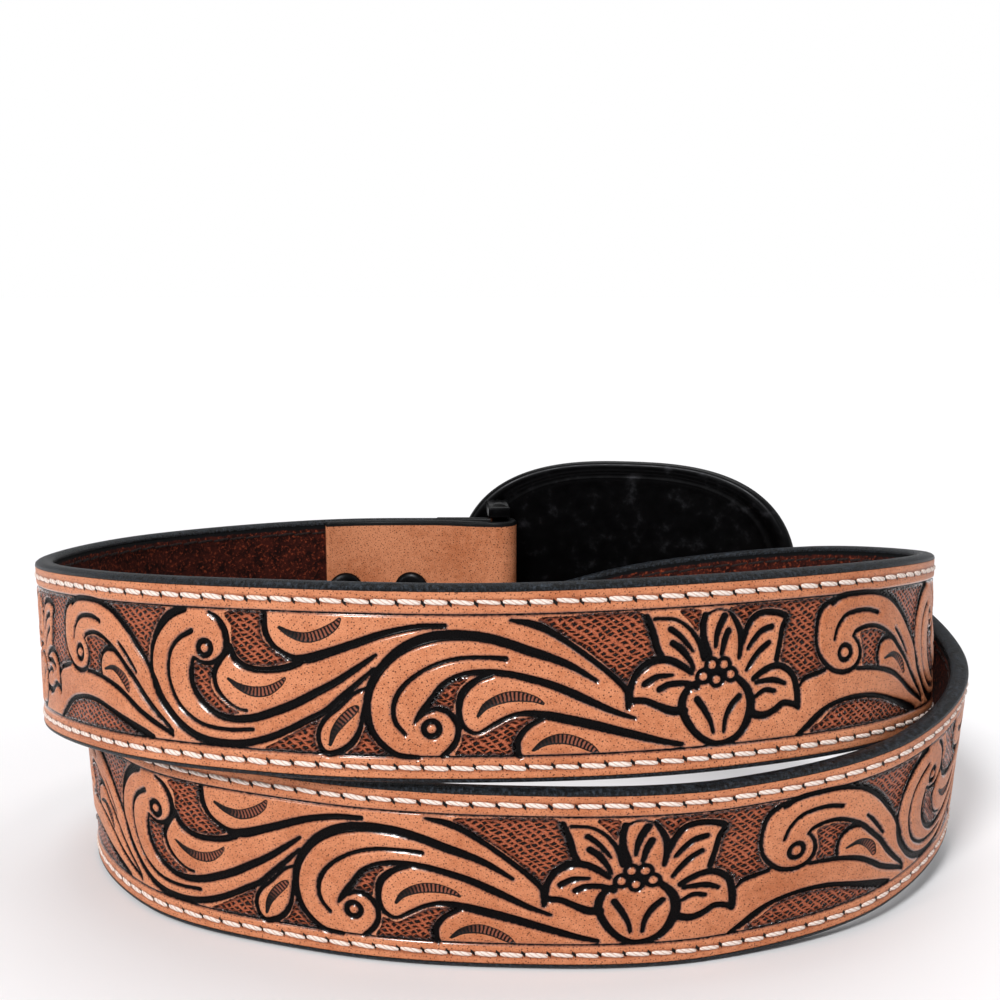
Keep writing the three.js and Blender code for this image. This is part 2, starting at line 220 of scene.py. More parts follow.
# The carving is cut by hand from one drawing of 167 mm, set down again and again along the strap.
# A stroke is a bevelled cut: (along, across, width). A patch of ground is matted, a hatched stroke is a
# crescent filled with ridges, a ring is an eye of a scroll or a seed: (along, across, radius, line width).
REPEAT = 167.3
STROKES = [
    # branch out of the flower, its upper and lower edge
    [(0.8, 15.4, 0.4), (2, 16.6, 0.8), (4.5, 17.2, 0.8), (7, 17.7, 0.6)],
    [(15.5, 17.1, 0.6), (19, 16.8, 0.7), (22.5, 16.2, 0.8), (27, 14.8, 0.9), (30.5, 12.9, 0.9),
     (34, 10.6, 1.0), (38, 8.7, 0.9), (41, 7.4, 0.7), (42.8, 6.5, 0.5)],
    [(0.2, 5.6, 0.6), (2.6, 7, 1.2), (5, 8.7, 1.3), (8, 10.3, 0.9), (12, 11.2, 0.8), (16, 11.4, 0.8),
     (20, 11, 0.9), (24, 10, 0.9), (28, 8.7, 1.1), (31.5, 7.5, 1.4), (35, 6.4, 1.4), (37.6, 5.7, 0.8)],
    # small scroll, outer edge on into the big scroll
    [(9, 30.8, 0.9), (11.5, 32, 1.0), (16, 32.3, 0.9), (21, 32, 0.9), (25, 31, 1.1), (28, 29.3, 1.1),
     (31, 26.8, 1.1), (33.5, 24, 0.9), (36, 21, 0.7), (38, 18, 0.9), (39.2, 15.2, 1.4)],
    [(9.3, 31.6, 0.7), (6.6, 30.3, 0.9), (5.4, 28.5, 0.8), (4.9, 26, 0.6), (4.9, 23, 0.6), (5.8, 20.5, 0.7),
     (7.5, 18.6, 0.8), (9.5, 17.3, 0.8), (12.3, 16.8, 0.8), (14.8, 17.5, 0.8), (16.2, 19.4, 0.8),
     (16, 21.8, 0.6), (14.6, 23.8, 0.4)],
    [(9.5, 23.6, 0.5), (10.4, 26, 0.6), (12.4, 28, 0.7), (15, 28.7, 0.7), (18.5, 28.7, 0.7),
     (21.4, 27.9, 0.7)],
    [(14.3, 23.8, 0.3), (15.5, 24.8, 0.7), (18.5, 25.4, 0.7), (21.5, 25, 0.7), (24.5, 23.7, 0.7),
     (27.2, 21.9, 0.9), (30, 19.4, 0.9), (32.7, 16.9, 0.9), (35.5, 13.7, 1.0), (38.5, 10.9, 0.9),
     (41, 8.9, 0.7), (42.7, 7.4, 0.5)],
    [(27.8, 24.1, 0.4), (29.5, 22.5, 0.6), (31.5, 20.3, 0.6), (33.1, 18.4, 0.4)],
    # leaf under the small scroll
    [(27, 22, 0.7), (25.5, 22.6, 1.0), (23.5, 22.4, 0.9), (22, 21.2, 0.7), (21.3, 19, 0.6),
     (21.6, 17.2, 0.5)],
    # first big scroll
    [(46, 31.8, 0.9), (43, 31, 1.6), (40.5, 29, 1.5), (38.5, 26, 1.0), (37.6, 23, 0.7), (37.4, 20, 0.7),
     (38, 17.5, 1.1), (39.4, 14.6, 1.5), (41.5, 12, 1.4), (44.5, 9.2, 1.4), (48, 7.2, 1.4), (52, 6.2, 1.4),
     (57, 6.1, 1.3), (61, 6.7, 1.2), (65, 7.9, 1.2), (69, 9.7, 1.1), (73, 11.9, 1.1), (76, 13.6, 1.0),
     (79, 16.3, 1.0), (82, 19, 0.9), (85.2, 22, 0.5)],
    [(51.5, 31.6, 0.4), (53.5, 30.5, 0.9), (55, 28.5, 1.2), (55.6, 26, 1.2), (55, 23.8, 0.9),
     (53.5, 22.3, 0.8), (51.8, 21.6, 0.7), (50, 21.6, 0.6), (48.3, 22.4, 0.5)],
    [(47.9, 22.5, 0.4), (47.5, 20, 0.9), (47.7, 17.5, 1.0), (49, 15, 1.0), (51.3, 12.8, 1.0),
     (54.5, 11.3, 1.1), (58, 11, 1.3), (62, 11.6, 1.4), (66, 13, 1.5), (70, 14.7, 1.5), (74, 16.9, 1.4),
     (78, 19.2, 1.2), (82, 22, 1.0), (85.5, 24.6, 0.5)],
    [(47.5, 27.7, 0.9), (44.5, 26, 0.7), (42.5, 23.5, 0.6), (41.8, 20, 0.6), (42.5, 16.5, 0.6),
     (44.5, 13, 0.6), (47.5, 10.6, 0.6), (51, 9.2, 0.6), (56, 8.8, 0.6), (61.3, 9.2, 0.6)],
    # leaf beside it, its left edge and its upper edge
    [(56.2, 24.6, 0.9), (54.4, 22.6, 0.9), (52.9, 20.2, 1.0), (52.9, 18.2, 0.8), (53.8, 16.2, 0.7),
     (55.6, 14.4, 0.5), (58, 13.1, 0.4), (60, 12.8, 0.4)],
    [(56.2, 25.2, 1.1), (57.5, 22.8, 1.2), (60, 21.3, 1.1), (63.5, 20.9, 1.1), (68, 21.5, 1.2),
     (71, 22.6, 1.2)],
    # half leaf at the top border
    [(63.6, 31.6, 1.2), (63.9, 28.5, 1.1), (65.3, 26, 0.9), (67.5, 24.4, 0.9), (70, 23.4, 1.2),
     (73, 23.6, 1.7), (78, 25.3, 1.5), (82, 26.8, 1.4), (86, 28.3, 1.3), (90, 29.4, 1.1), (94, 30.1, 1.0),
     (98.3, 30.3, 0.8)],
    # bud
    [(83.6, 18.2, 0.4), (81.5, 17.2, 0.5), (78.5, 14.3, 0.6), (75.9, 12, 0.7), (74.7, 9.5, 0.7),
     (75, 7, 0.7), (76.3, 5.5, 0.9), (78.5, 5.9, 1.0), (80.8, 7.4, 1.0), (82.4, 10, 0.8), (83, 13, 0.6),
     (83.6, 16, 0.5)],
    # second big scroll
    [(93.2, 5.2, 0.7), (89.5, 5.6, 0.9), (86.7, 7.5, 1.0), (84.8, 10, 1.1), (83.9, 13, 1.3),
     (83.9, 16, 1.3), (84.8, 19.3, 1.4), (86.8, 22.5, 1.5), (89.5, 25.2, 1.7), (93, 27.2, 1.9),
     (97, 28.3, 1.9), (101.5, 28.5, 1.8), (106, 28, 1.7), (110, 26.9, 1.6), (114, 25.4, 1.6),
     (118, 24, 1.4), (122, 22.2, 1.1), (126.6, 19.3, 0.6)],
    [(109.7, 24, 0.8), (106, 24.3, 0.6), (101.5, 24.2, 0.6), (97.5, 23.3, 0.6), (94, 21.6, 0.6),
     (91, 19.2, 0.7), (89.2, 16.5, 0.8), (88.7, 13.8, 0.7), (89.3, 11.5, 0.7), (90.9, 9.6, 0.6)],
    [(92.6, 11.8, 0.3), (94, 13.8, 1.2), (95.8, 16.3, 1.1), (98, 19.2, 0.9), (101.5, 21, 0.9),
     (105.5, 21.5, 1.0), (110, 21.1, 1.1), (114.5, 20, 1.2), (118.5, 18.7, 1.3), (122.5, 16.9, 1.4),
     (126.5, 14.9, 1.2), (130, 13.2, 0.9), (133.7, 11.8, 0.5)],
    [(94.6, 13.6, 0.4), (96.5, 14.5, 0.7), (99, 13.8, 0.9), (100.6, 11.5, 0.9), (100.6, 9, 0.9),
     (99.5, 7, 1.0), (97.8, 5.5, 0.7)],
    # two leaves inside it
    [(107, 20.9, 0.6), (105.4, 20.5, 0.8), (103.5, 19.5, 1.1), (101.5, 17.4, 1.3), (100.9, 14.5, 1.0),
     (101.4, 12, 0.7), (102.6, 10.4, 0.7), (104.5, 9.9, 0.5), (107.5, 11.5, 0.7), (110, 12.8, 0.7),
     (113, 13.5, 0.9), (117, 13.1, 1.4), (121, 12.2, 1.6), (126, 10.9, 1.6), (130, 9.7, 1.5),
     (135, 8.2, 1.3), (139, 7, 1.0), (142.6, 6.2, 0.7)],
    [(116.5, 12.4, 0.6), (113.7, 10.8, 0.9), (112, 8.5, 1.1), (111.8, 6.4, 1.3), (112.3, 5.4, 0.8)],
    # last leaf before the flower
    [(110.5, 31.3, 0.4), (114.5, 30.5, 1.2), (118, 28.9, 1.1), (122, 26.2, 0.9), (126, 23.1, 0.9),
     (129.5, 20.1, 0.9), (132, 17.4, 1.0), (132.6, 15.5, 1.4), (132.4, 13.8, 0.7)],
]
FLOWER = [
    # petals, round from the lower left one
    [(132.6, 16.2, 0.9), (133.3, 19, 0.9), (135, 21.3, 1.1), (137.5, 22.6, 1.2), (140, 22.5, 1.1),
     (142.5, 21.3, 1.0), (144.5, 19.7, 0.6)],
    [(132.6, 15.2, 0.9), (135.5, 15, 0.9), (138, 13.9, 1.0), (140.5, 12.8, 1.3), (143, 12.6, 1.2)],
    [(135.5, 18.2, 0.9), (137.8, 19.4, 0.8), (140.8, 19.6, 0.3)],
    [(138.3, 17, 0.9), (140.3, 17.9, 0.8), (143.4, 17.8, 0.8), (145.5, 16.9, 0.8)],
    [(135.8, 30.9, 1.0), (137, 28, 1.0), (137.8, 25, 1.0), (138.8, 22.9, 0.9)],
    [(137.4, 30.5, 0.4), (141, 30.2, 0.3), (143.7, 28.6, 0.4), (145.8, 25.8, 0.6), (147, 22.4, 0.9)],
    [(140.4, 28.4, 0.8), (142.1, 27.1, 0.7), (143.7, 25.3, 0.5), (144.8, 23.9, 0.2)],
    [(140.8, 25.7, 0.9), (142.6, 24.3, 1.0), (144.2, 22.1, 0.6), (144.9, 20.5, 0.4)],
    [(147.2, 30.6, 0.9), (146.8, 28.6, 1.0), (147, 26, 1.0), (148, 23, 1.1)],
    [(147.4, 30.6, 0.3), (149.6, 31.5, 0.05), (151.8, 31.2, 0.05), (153.2, 29.8, 0.6), (154.4, 27.4, 0.9),
     (154.7, 24.8, 0.9), (154.3, 22, 0.5)],
    [(151.2, 30.2, 1.1), (150.2, 28.3, 1.0), (149.6, 26.5, 0.8), (149.3, 24.4, 0.4)],
    [(152, 27.3, 1.0), (151.2, 25.5, 0.9), (150.6, 23, 0.5)],
    [(154.9, 24.6, 0.7), (155.8, 27, 0.9), (157, 29.1, 0.9), (159, 30.2, 0.9), (162, 30.2, 0.9),
     (164.8, 29.1, 1.0), (163.9, 27, 0.8), (163.3, 24, 0.8), (162.6, 21, 0.9)],
    [(161.5, 27.4, 0.9), (159.3, 26.8, 0.8), (157.5, 25.2, 0.7), (156.2, 23.6, 0.4)],
    [(160.8, 24.3, 0.8), (158.8, 23, 0.8), (157, 21, 0.7), (155.9, 19.4, 0.4)],
    [(157.4, 17.6, 0.8), (159.3, 18.8, 0.9), (161.5, 19.6, 0.9), (164, 19.4, 1.0), (166.3, 17.6, 1.0),
     (167.2, 15, 1.1), (167.5, 12.6, 1.1), (167.7, 10.8, 0.4)],
    [(156.6, 11.4, 1.2), (158, 10.5, 1.2), (160, 10.3, 1.1), (162, 11, 1.0), (164, 12.2, 0.9),
     (166.3, 11.8, 0.8), (167.6, 10.9, 0.5)],
    [(164.5, 16, 0.5), (162.3, 16.9, 0.8), (160, 17, 0.7), (158, 16.8, 0.5)],
    [(162, 14.8, 0.6), (160, 15.2, 0.6), (158.5, 14.5, 0.5), (157.7, 14, 0.3)],
    # heart-shaped lower petal
    [(146, 18, 0.8), (143.9, 16.8, 1.0), (142.7, 14.6, 1.2), (142.8, 12.4, 1.2), (143.9, 10, 1.1),
     (145.6, 7.8, 1.0), (147.6, 6.3, 0.9), (150, 5.7, 0.7), (153, 6.3, 1.0), (155, 7.9, 1.2),
     (156.3, 10.4, 1.4), (156.8, 13, 1.5), (156, 15.8, 1.3), (153.8, 18.2, 0.9)],
    [(145.6, 14.6, 1.0), (147, 12.5, 0.9), (148.3, 10, 0.6), (148.8, 8, 0.4)],
    [(154.3, 14.5, 0.9), (152.6, 12.8, 0.9), (151.4, 10.5, 0.6), (151, 8, 0.4)],
    # dark middle between the seeds
    [(148.2, 19.6, 1.2), (149.6, 19.4, 1.3), (151.2, 19.6, 1.2)],
]
HATCHED = [
    [(23.3, 18.3, 0.4), (26, 18.8, 1.0), (28.3, 17.9, 1.6), (30, 16.4, 1.8), (30.9, 14.7, 1.0)],
    [(56.1, 18.9, 0.5), (58.5, 17.5, 1.2), (61.5, 16.7, 1.9), (64.5, 17, 1.9), (67, 18.4, 1.2),
     (68.2, 19.6, 0.5)],
    [(67, 29.3, 0.6), (69.5, 28.1, 1.3), (72.5, 27.6, 1.9), (75.5, 28.5, 2.0), (77.8, 30, 1.5),
     (78.8, 31.3, 0.6)],
    [(77, 7.2, 0.5), (77.8, 9.8, 1.3), (79.3, 12, 1.8), (81, 13.7, 1.7), (81.9, 14.5, 1.1)],
    [(104.4, 13.2, 0.5), (106, 15.2, 1.3), (109, 16.6, 1.9), (112, 16.9, 1.9), (115, 16.3, 1.2),
     (116.7, 15.4, 0.5)],
    [(114.8, 6.5, 0.5), (117, 8, 1.3), (120, 8.6, 1.9), (123, 7.9, 1.8), (125.5, 6.6, 1.4),
     (127, 5.4, 0.5)],
]
RINGS = [
    (12.3, 20.7, 1.5, 0.95),
    (50.6, 24.5, 1.45, 1.1),
    (95.8, 10.7, 1.45, 1.1),
    (148.6, 21, 1.22, 0.75),
    (151.1, 20.9, 1.22, 0.75),
    (146.8, 18.9, 1.22, 0.75),
    (152.5, 18.9, 1.22, 0.75),
    (149.5, 18.1, 1.22, 0.75),
]
GROUND = [
    [(3.5, 5.6), (6, 8), (9, 10), (13, 10.8), (18, 10.7), (23, 9.7), (28, 8.1), (32, 6.6), (35, 5.6),
     (20, 5.5)],
    [(16, 24.2), (19, 24.8), (22, 24.2), (24.5, 23), (22.6, 22.6), (21.4, 21), (20.9, 19), (21.1, 17.2),
     (18.5, 17.3), (16.5, 17.8), (16.9, 20), (16.4, 22.5)],
    [(22, 32.1), (27, 30.2), (30.5, 27.6), (33.5, 24.3), (36, 21.2), (37.2, 19.4), (36.9, 22.5), (37.7, 26),
     (39.3, 29), (41.5, 31.5), (41, 32.1), (32, 32.2)],
    [(55.5, 31.9), (63, 32), (63, 29), (64, 26.5), (66.5, 24.3), (69, 23), (66.5, 22), (63.5, 21.6),
     (60.2, 22), (57.9, 23.6), (56.8, 26), (56.7, 29)],
    [(48.3, 21.6), (50.5, 21), (52.4, 21), (52.2, 18), (53.2, 15.7), (55.8, 13.6), (58.5, 12.4), (57, 11.8),
     (54, 12), (51, 13.8), (49, 16), (48.2, 18.5)],
    [(64.3, 5.5), (66.5, 7.3), (70, 9.3), (73, 11.1), (75.2, 12.5), (74.1, 9.5), (74.4, 7), (75.5, 5.5)],
    [(80.3, 5.5), (82, 7.5), (83.2, 10.3), (83.7, 11.4), (84.3, 9.6), (86, 7.2), (88, 5.5)],
    [(95.5, 15), (97, 17.8), (99.8, 20.2), (102.6, 20.4), (100.9, 18.4), (100.1, 15.5), (99.7, 14.1),
     (97.5, 14.9)],
    [(101.5, 9.8), (102.6, 9.7), (104.5, 9.2), (107.5, 10.8), (110.5, 12.4), (113.5, 12.8), (116, 12.6),
     (113, 11.1), (111.3, 8.5), (111.3, 5.6), (106, 5.4), (100.3, 5.5), (101.2, 8)],
    [(115.5, 31.4), (120, 31.9), (130, 32.1), (135, 31.9), (136.3, 29), (137.1, 25), (137.5, 23.3),
     (135, 22.1), (133, 20), (132.1, 18.2), (130.5, 19.8), (127.5, 22.8), (124, 25.7), (120, 28.3)],
    [(142, 31.9), (144, 29.5), (145.5, 27.6), (146.2, 29), (146.4, 31.2), (146, 31.9)],
    [(152.6, 31.9), (154.4, 29.4), (155.2, 28), (157, 30.3), (159, 31), (162, 31), (165.2, 29.8),
     (164.4, 27), (163.9, 23.5), (163.3, 20.6), (165.2, 19.8), (167.2, 17.4), (168, 16), (169.5, 17.3),
     (172, 17.8), (174.2, 18.2), (172.6, 20), (171.9, 23), (172, 27), (173.2, 30), (176, 32), (166, 32.1)],
]
BORDERS = (5.35, 32.35)
BORDER_LINE = 0.3
CHART_PITCH = 0.2
CHART_REACH = 1.6
STROKE_STEPS = 16
PATCH_STEPS = 8
STROKES_WIDER = 0.16
FLOWER_WIDER = 0.32
HATCHED_WIDER = 0.1
# where along the strap (left) a place of the endless drawing (right) comes
CHART_MARKS = np.array([
    (-100, -290),
    (369.6, 179.6),
    (402.5, 208.5),
    (753.6, 552.5),
    (854.6, 651.8),
    (887.5, 681.7),
    (930, 719.8),
    (1303.5, 1093.3),
])


def chart_window(points, reach):
    """The part of the chart's grid round some points: its slices, and its along and across places."""
    low, high = points[:, :2].min(0) - reach, points[:, :2].max(0) + reach
    columns = np.flatnonzero((chart_along > low[0]) & (chart_along < high[0]))
    rows = np.flatnonzero((chart_across > low[1]) & (chart_across < high[1]))
    if len(columns) == 0 or len(rows) == 0:
        return None
    place = np.ix_(rows, columns)
    grid = np.stack(np.meshgrid(chart_along[columns], chart_across[rows]), -1)
    return place, grid


def shifted_copies(rows):
    """A drawn row of points on the chart, and again one repeat before and after it."""
    for shift in (-REPEAT, 0, REPEAT):
        moved = np.array(rows, float)
        moved[:, 0] += shift
        yield moved


def draw_strokes(strokes, field, wider, runs=None):
    """Writes how deep each place lies inside a stroke, and how far along the stroke it is."""
    for stroke in strokes:
        for rows in shifted_copies(stroke):
            line = smooth_line(rows, STROKE_STEPS)
            window = chart_window(line, CHART_REACH)
            if window is None:
                continue
            place, grid = window
            gap = np.linalg.norm(grid[:, :, None] - line[:, :2], axis=3) - (line[:, 2] + wider) / 2
            nearest = gap.argmin(axis=2)
            inside = -gap.min(axis=2)
            better = inside > field[place]
            field[place] = np.where(better, inside, field[place])
            if runs is not None:
                lengths = np.linalg.norm(np.diff(line[:, :2], axis=0), axis=1)
                run = np.concatenate([[0], np.cumsum(lengths)])
                runs[place] = np.where(better, run[nearest], runs[place])


def draw_rings(rings, field):
    """Writes round cuts into a field: the ring's line is cut, its middle stays up."""
    for ring in rings:
        for rows in shifted_copies([ring]):
            window = chart_window(rows, ring[2] + CHART_REACH)
            if window is None:
                continue
            place, grid = window
            radius = np.hypot(grid[..., 0] - rows[0, 0], grid[..., 1] - rows[0, 1])
            cut = ring[3] / 2 - np.abs(radius - ring[2])
            disc = radius < ring[2]
            field[place] = np.where(disc, cut, np.maximum(field[place], cut))


def draw_patches(patches, field):
    """Writes how deep each place lies inside a closed outline."""
    for patch in patches:
        for rows in shifted_copies(patch):
            looped = np.vstack([rows[-1:], rows, rows[:2]])
            outline = smooth_line(looped, PATCH_STEPS)[PATCH_STEPS:-PATCH_STEPS]
            window = chart_window(outline, CHART_REACH)
            if window is None:
                continue
            place, grid = window
            x, y = grid[..., 0, None], grid[..., 1, None]
            start, end = outline[:-1], outline[1:]
            crosses = (start[:, 1] > y) != (end[:, 1] > y)
            rise = np.where(start[:, 1] == end[:, 1], 1, end[:, 1] - start[:, 1])
            meets = start[:, 0] + (y - start[:, 1]) * (end[:, 0] - start[:, 0]) / rise
            inside = (crosses & (x < meets)).sum(axis=2) % 2 == 1
            gap = np.linalg.norm(grid[:, :, None] - outline, axis=3).min(axis=2)
            field[place] = np.maximum(field[place], np.where(inside, gap, -gap))


chart_along = np.arange(0, REPEAT + CHART_PITCH, CHART_PITCH)
chart_across = np.arange(0, STRAP_WIDTH + CHART_PITCH, CHART_PITCH)
blank = np.full((len(chart_across), len(chart_along)), -CHART_REACH)
chart = {name: blank.copy() for name in ("cut", "ground", "hatch")}
chart["run"] = np.zeros_like(chart["cut"])
draw_strokes(STROKES, chart["cut"], STROKES_WIDER)
draw_strokes(FLOWER, chart["cut"], FLOWER_WIDER)
draw_rings(RINGS, chart["cut"])
draw_strokes(HATCHED, chart["hatch"], HATCHED_WIDER, chart["run"])
draw_patches(GROUND, chart["ground"])
for border in BORDERS:
    line_gap = BORDER_LINE / 2 - np.abs(chart_across - border)
    chart["cut"] = np.maximum(chart["cut"], line_gap[:, None])


def read_chart(name, along, across):
    """A field of the chart at places on the strap, between its grid's places."""
    drawn = np.interp(along, CHART_MARKS[:, 0], CHART_MARKS[:, 1]) % REPEAT
    column, row = drawn / CHART_PITCH, np.clip(across, 0, STRAP_WIDTH) / CHART_PITCH
    left, low = np.floor(column).astype(int), np.floor(row).astype(int)
    right, high = np.minimum(left + 1, len(chart_along) - 1), np.minimum(low + 1, len(chart_across) - 1)
    x, y = column - left, row - low
    field = chart[name]
    return ((field[low, left] * (1 - x) + field[low, right] * x) * (1 - y)
            + (field[high, left] * (1 - x) + field[high, right] * x) * y)


# The carved face: five lengths of the strap butted end to end. The knife cuts go 0.5 mm deep with rounded
# shoulders, the matted ground lies 0.4 mm down, and the thread sits in a shallow channel near each edge.
# The tan grain is full of pores, and black dye fills the cuts, the bevels and the pits of the ground.
LINING_START = 18.0
EDGE_INSET = 1.15
STITCH_ROWS = (3.2, 34.75)
STITCH_PITCH = 4.9
CUT_DEPTH = 0.5
CUT_WALL = (-0.25, 0.3)
SHOULDER_DEPTH = 0.28
SHOULDER_WIDTH = 0.5
GROUND_DEPTH = 0.4
GROUND_WALL = (-0.1, 0.6)
HATCH_DEPTH = 0.35
HATCH_WALL = (-0.1, 0.4)
HATCH_PITCH = 0.75
HATCH_RIDGE = 0.06
CHANNEL_DEPTH = 0.16
CHANNEL_WIDTH = 0.6
BORDER_END = 4.9
BORDER_POINTS = 10
PANEL_FIRST = 5.05
PANEL_START = 24.0
PANEL_END = strap_length - 9.0
FINE_STEP = 0.36
COARSE_STEP = 0.6
FACE_LENGTHS = [
    ("carved_strap_1", LINING_START, 140, COARSE_STEP),
    ("carved_strap_2", 140, 440, FINE_STEP),
    ("carved_strap_3", 440, 690, COARSE_STEP),
    ("carved_strap_4", 690, 1000, FINE_STEP),
    ("carved_strap_5", 1000, strap_length - EDGE_INSET, COARSE_STEP),
]
HOLE_RADIUS = 2.0
HOLE_COUNT = 5
HOLE_SPACING = 25.0
HOLE_SIDES = 40
FIRST_HOLE_FROM_TIP = 45.0


def ease(value, low, high):
    """Nought below low, one above high, and a smooth rise between."""
    t = np.clip((value - low) / (high - low), 0, 1)
    return t * t * (3 - 2 * t)


def drawn_fields(along, across):
    """The chart's cuts, ground and hatching at places on the strap, closed off at the panel's ends."""
    to_end = np.minimum(along - PANEL_START, PANEL_END - along)
    fields = [np.minimum(read_chart(name, along, across), to_end) for name in ("cut", "ground", "hatch")]
    in_panel = (across > BORDERS[0]) & (across < BORDERS[1])
    end_line = BORDER_LINE / 2 - np.abs(to_end)
    fields[0] = np.where(in_panel, np.maximum(fields[0], end_line), fields[0])
    return fields


def carved_depth(along, across):
    """How far the tools have pushed the face down, in millimetres."""
    cut, ground, hatch = drawn_fields(along, across)
    shoulder = SHOULDER_DEPTH * np.exp(np.minimum(cut, 0) / SHOULDER_WIDTH)
    down = CUT_DEPTH * ease(cut, *CUT_WALL) + shoulder
    down = np.maximum(down, GROUND_DEPTH * ease(ground, *GROUND_WALL))
    ridges = HATCH_RIDGE * np.cos(read_chart("run", along, across) * 2 * math.pi / HATCH_PITCH)
    down = np.maximum(down, (HATCH_DEPTH + ridges) * ease(hatch, *HATCH_WALL))
    channel = sum(np.exp(-((across - row) / CHANNEL_WIDTH) ** 2) for row in STITCH_ROWS)
    return down + CHANNEL_DEPTH * channel


def carve(piece):
    """Presses the drawing into the flat face, and keeps its fields for the dye."""
    flat = places_of(piece)
    on_face = flat[:, 2] > FACE - 0.01
    fields = np.column_stack(drawn_fields(flat[:, 0], flat[:, 1]))
    fields[~on_face] = -CHART_REACH
    note_on(piece, "carving", fields)
    note_on(piece, "run", read_chart("run", flat[:, 0], flat[:, 1]))
    flat[on_face, 2] -= carved_depth(flat[on_face, 0], flat[on_face, 1])
    move_to(piece, flat)


def punch(piece):
    """Cuts the round holes of the billet through a flat piece."""
    for i in range(HOLE_COUNT):
        bpy.ops.object.select_all(action="DESELECT")
        along = strap_length - FIRST_HOLE_FROM_TIP - i * HOLE_SPACING
        bpy.ops.mesh.primitive_cylinder_add(vertices=HOLE_SIDES, radius=HOLE_RADIUS, depth=4 * FACE,
                                            location=(along, STRAP_MIDDLE, 0))
        cutter = bpy.context.object
        bpy.context.view_layer.objects.active = piece
        cut = piece.modifiers.new("hole", "BOOLEAN")
        cut.operation = "DIFFERENCE"
        cut.object = cutter
        bpy.ops.object.modifier_apply(modifier=cut.name)
        bpy.data.objects.remove(cutter)


def face_section():
    """The ring of the carved layer: closely spaced points over its face, and few behind it."""
    border = np.linspace(EDGE_INSET, BORDER_END, BORDER_POINTS)
    panel = np.arange(PANEL_FIRST, STRAP_WIDTH - PANEL_FIRST, FINE_STEP)
    across = np.concatenate([border, panel, STRAP_WIDTH - border[::-1]])
    face = np.column_stack([across, np.full(len(across), FACE)])
    back = [(place, LINING_FRONT) for place in np.linspace(STRAP_WIDTH - EDGE_INSET, EDGE_INSET, 5)]
    return np.vstack([face, back])


def dye(red, green, blue):
    """A colour seen as these 0 to 255 values, as the shader's linear numbers."""
    seen = np.array([red, green, blue]) / 255
    linear = np.where(seen <= 0.04045, seen / 12.92, ((seen + 0.055) / 1.055) ** 2.4)
    return (*linear.tolist(), 1)


def finish_of(name):
    """A new material, its node tree and its shader."""
    finish = bpy.data.materials.new(name)
    finish.use_nodes = True
    return finish, finish.node_tree, finish.node_tree.nodes["Principled BSDF"]


def wire(tree, node, *wires):
    """Gives inputs of a node the values or sockets that they take."""
    for place, value in wires:
        if isinstance(value, bpy.types.NodeSocket):
            tree.links.new(value, node.inputs[place])
        else:
            node.inputs[place].default_value = value


def add(tree, kind, *wires, **settings):
    """Adds a node."""
    node = tree.nodes.new(kind)
    for key, value in settings.items():
        setattr(node, key, value)
    wire(tree, node, *wires)
    return node


def maths(tree, operation, a, b=0.0, c=0.0):
    """The outcome of a Math node."""
    return add(tree, "ShaderNodeMath", (0, a), (1, b), (2, c), operation=operation).outputs[0]


def times(tree, a, b):
    """The product of two numbers."""
    return maths(tree, "MULTIPLY", a, b)


def times_plus(tree, a, b, c):
    """The product of two numbers, and a third added to it."""
    return maths(tree, "MULTIPLY_ADD", a, b, c)


def fade(tree, value, low, high, start=0.0, end=1.0):
    """A smooth change from start to end as the value goes from low to high."""
    wires = (0, value), (1, low), (2, high), (3, start), (4, end)
    return add(tree, "ShaderNodeMapRange", *wires, interpolation_type="SMOOTHSTEP").outputs[0]


def mix(tree, share, low, high):
    """A colour between two."""
    return add(tree, "ShaderNodeMix", (0, share), (6, low), (7, high), data_type="RGBA").outputs[2]


def cloud(tree, place, scale, detail=3.0, roughness=0.55):
    """Soft noise from 0 to 1."""
    wires = ("Vector", place), ("Scale", scale), ("Detail", detail), ("Roughness", roughness)
    return add(tree, "ShaderNodeTexNoise", *wires).outputs[0]


def bump(tree, strength, depth, height, *under):
    """The way out of a surface with this relief, over another way out if one is given."""
    wires = [("Strength", strength), ("Distance", depth), ("Height", height)]
    return add(tree, "ShaderNodeBump", *wires, *[("Normal", normal) for normal in under]).outputs[0]


def noted(tree, name):
    """The three numbers kept on the mesh under a name, at the shaded point."""
    return add(tree, "ShaderNodeAttribute", attribute_name=name).outputs["Vector"]


def split(tree, vector):
    """The three numbers of a vector."""
    return add(tree, "ShaderNodeSeparateXYZ", (0, vector)).outputs


def new_group(name, inputs, outputs):
    """An empty node group with its named sockets, and its two end nodes."""
    group = bpy.data.node_groups.new(name, "ShaderNodeTree")
    for direction, sockets in (("INPUT", inputs), ("OUTPUT", outputs)):
        for socket_name, kind in sockets.items():
            group.interface.new_socket(socket_name, in_out=direction, socket_type="NodeSocket" + kind)
    return group, group.nodes.new("NodeGroupInput").outputs, group.nodes.new("NodeGroupOutput")


def edge_gap_group():
    """How far a place on the flat strap lies from its nearer edge, in millimetres."""
    group, given, end = new_group("gap to the edge", {"Place": "Vector"}, {"Gap": "Float"})
    across = split(group, given["Place"])[1]
    wire(group, end, ("Gap", maths(group, "MINIMUM", across, maths(group, "SUBTRACT", STRAP_WIDTH, across))))
    return group


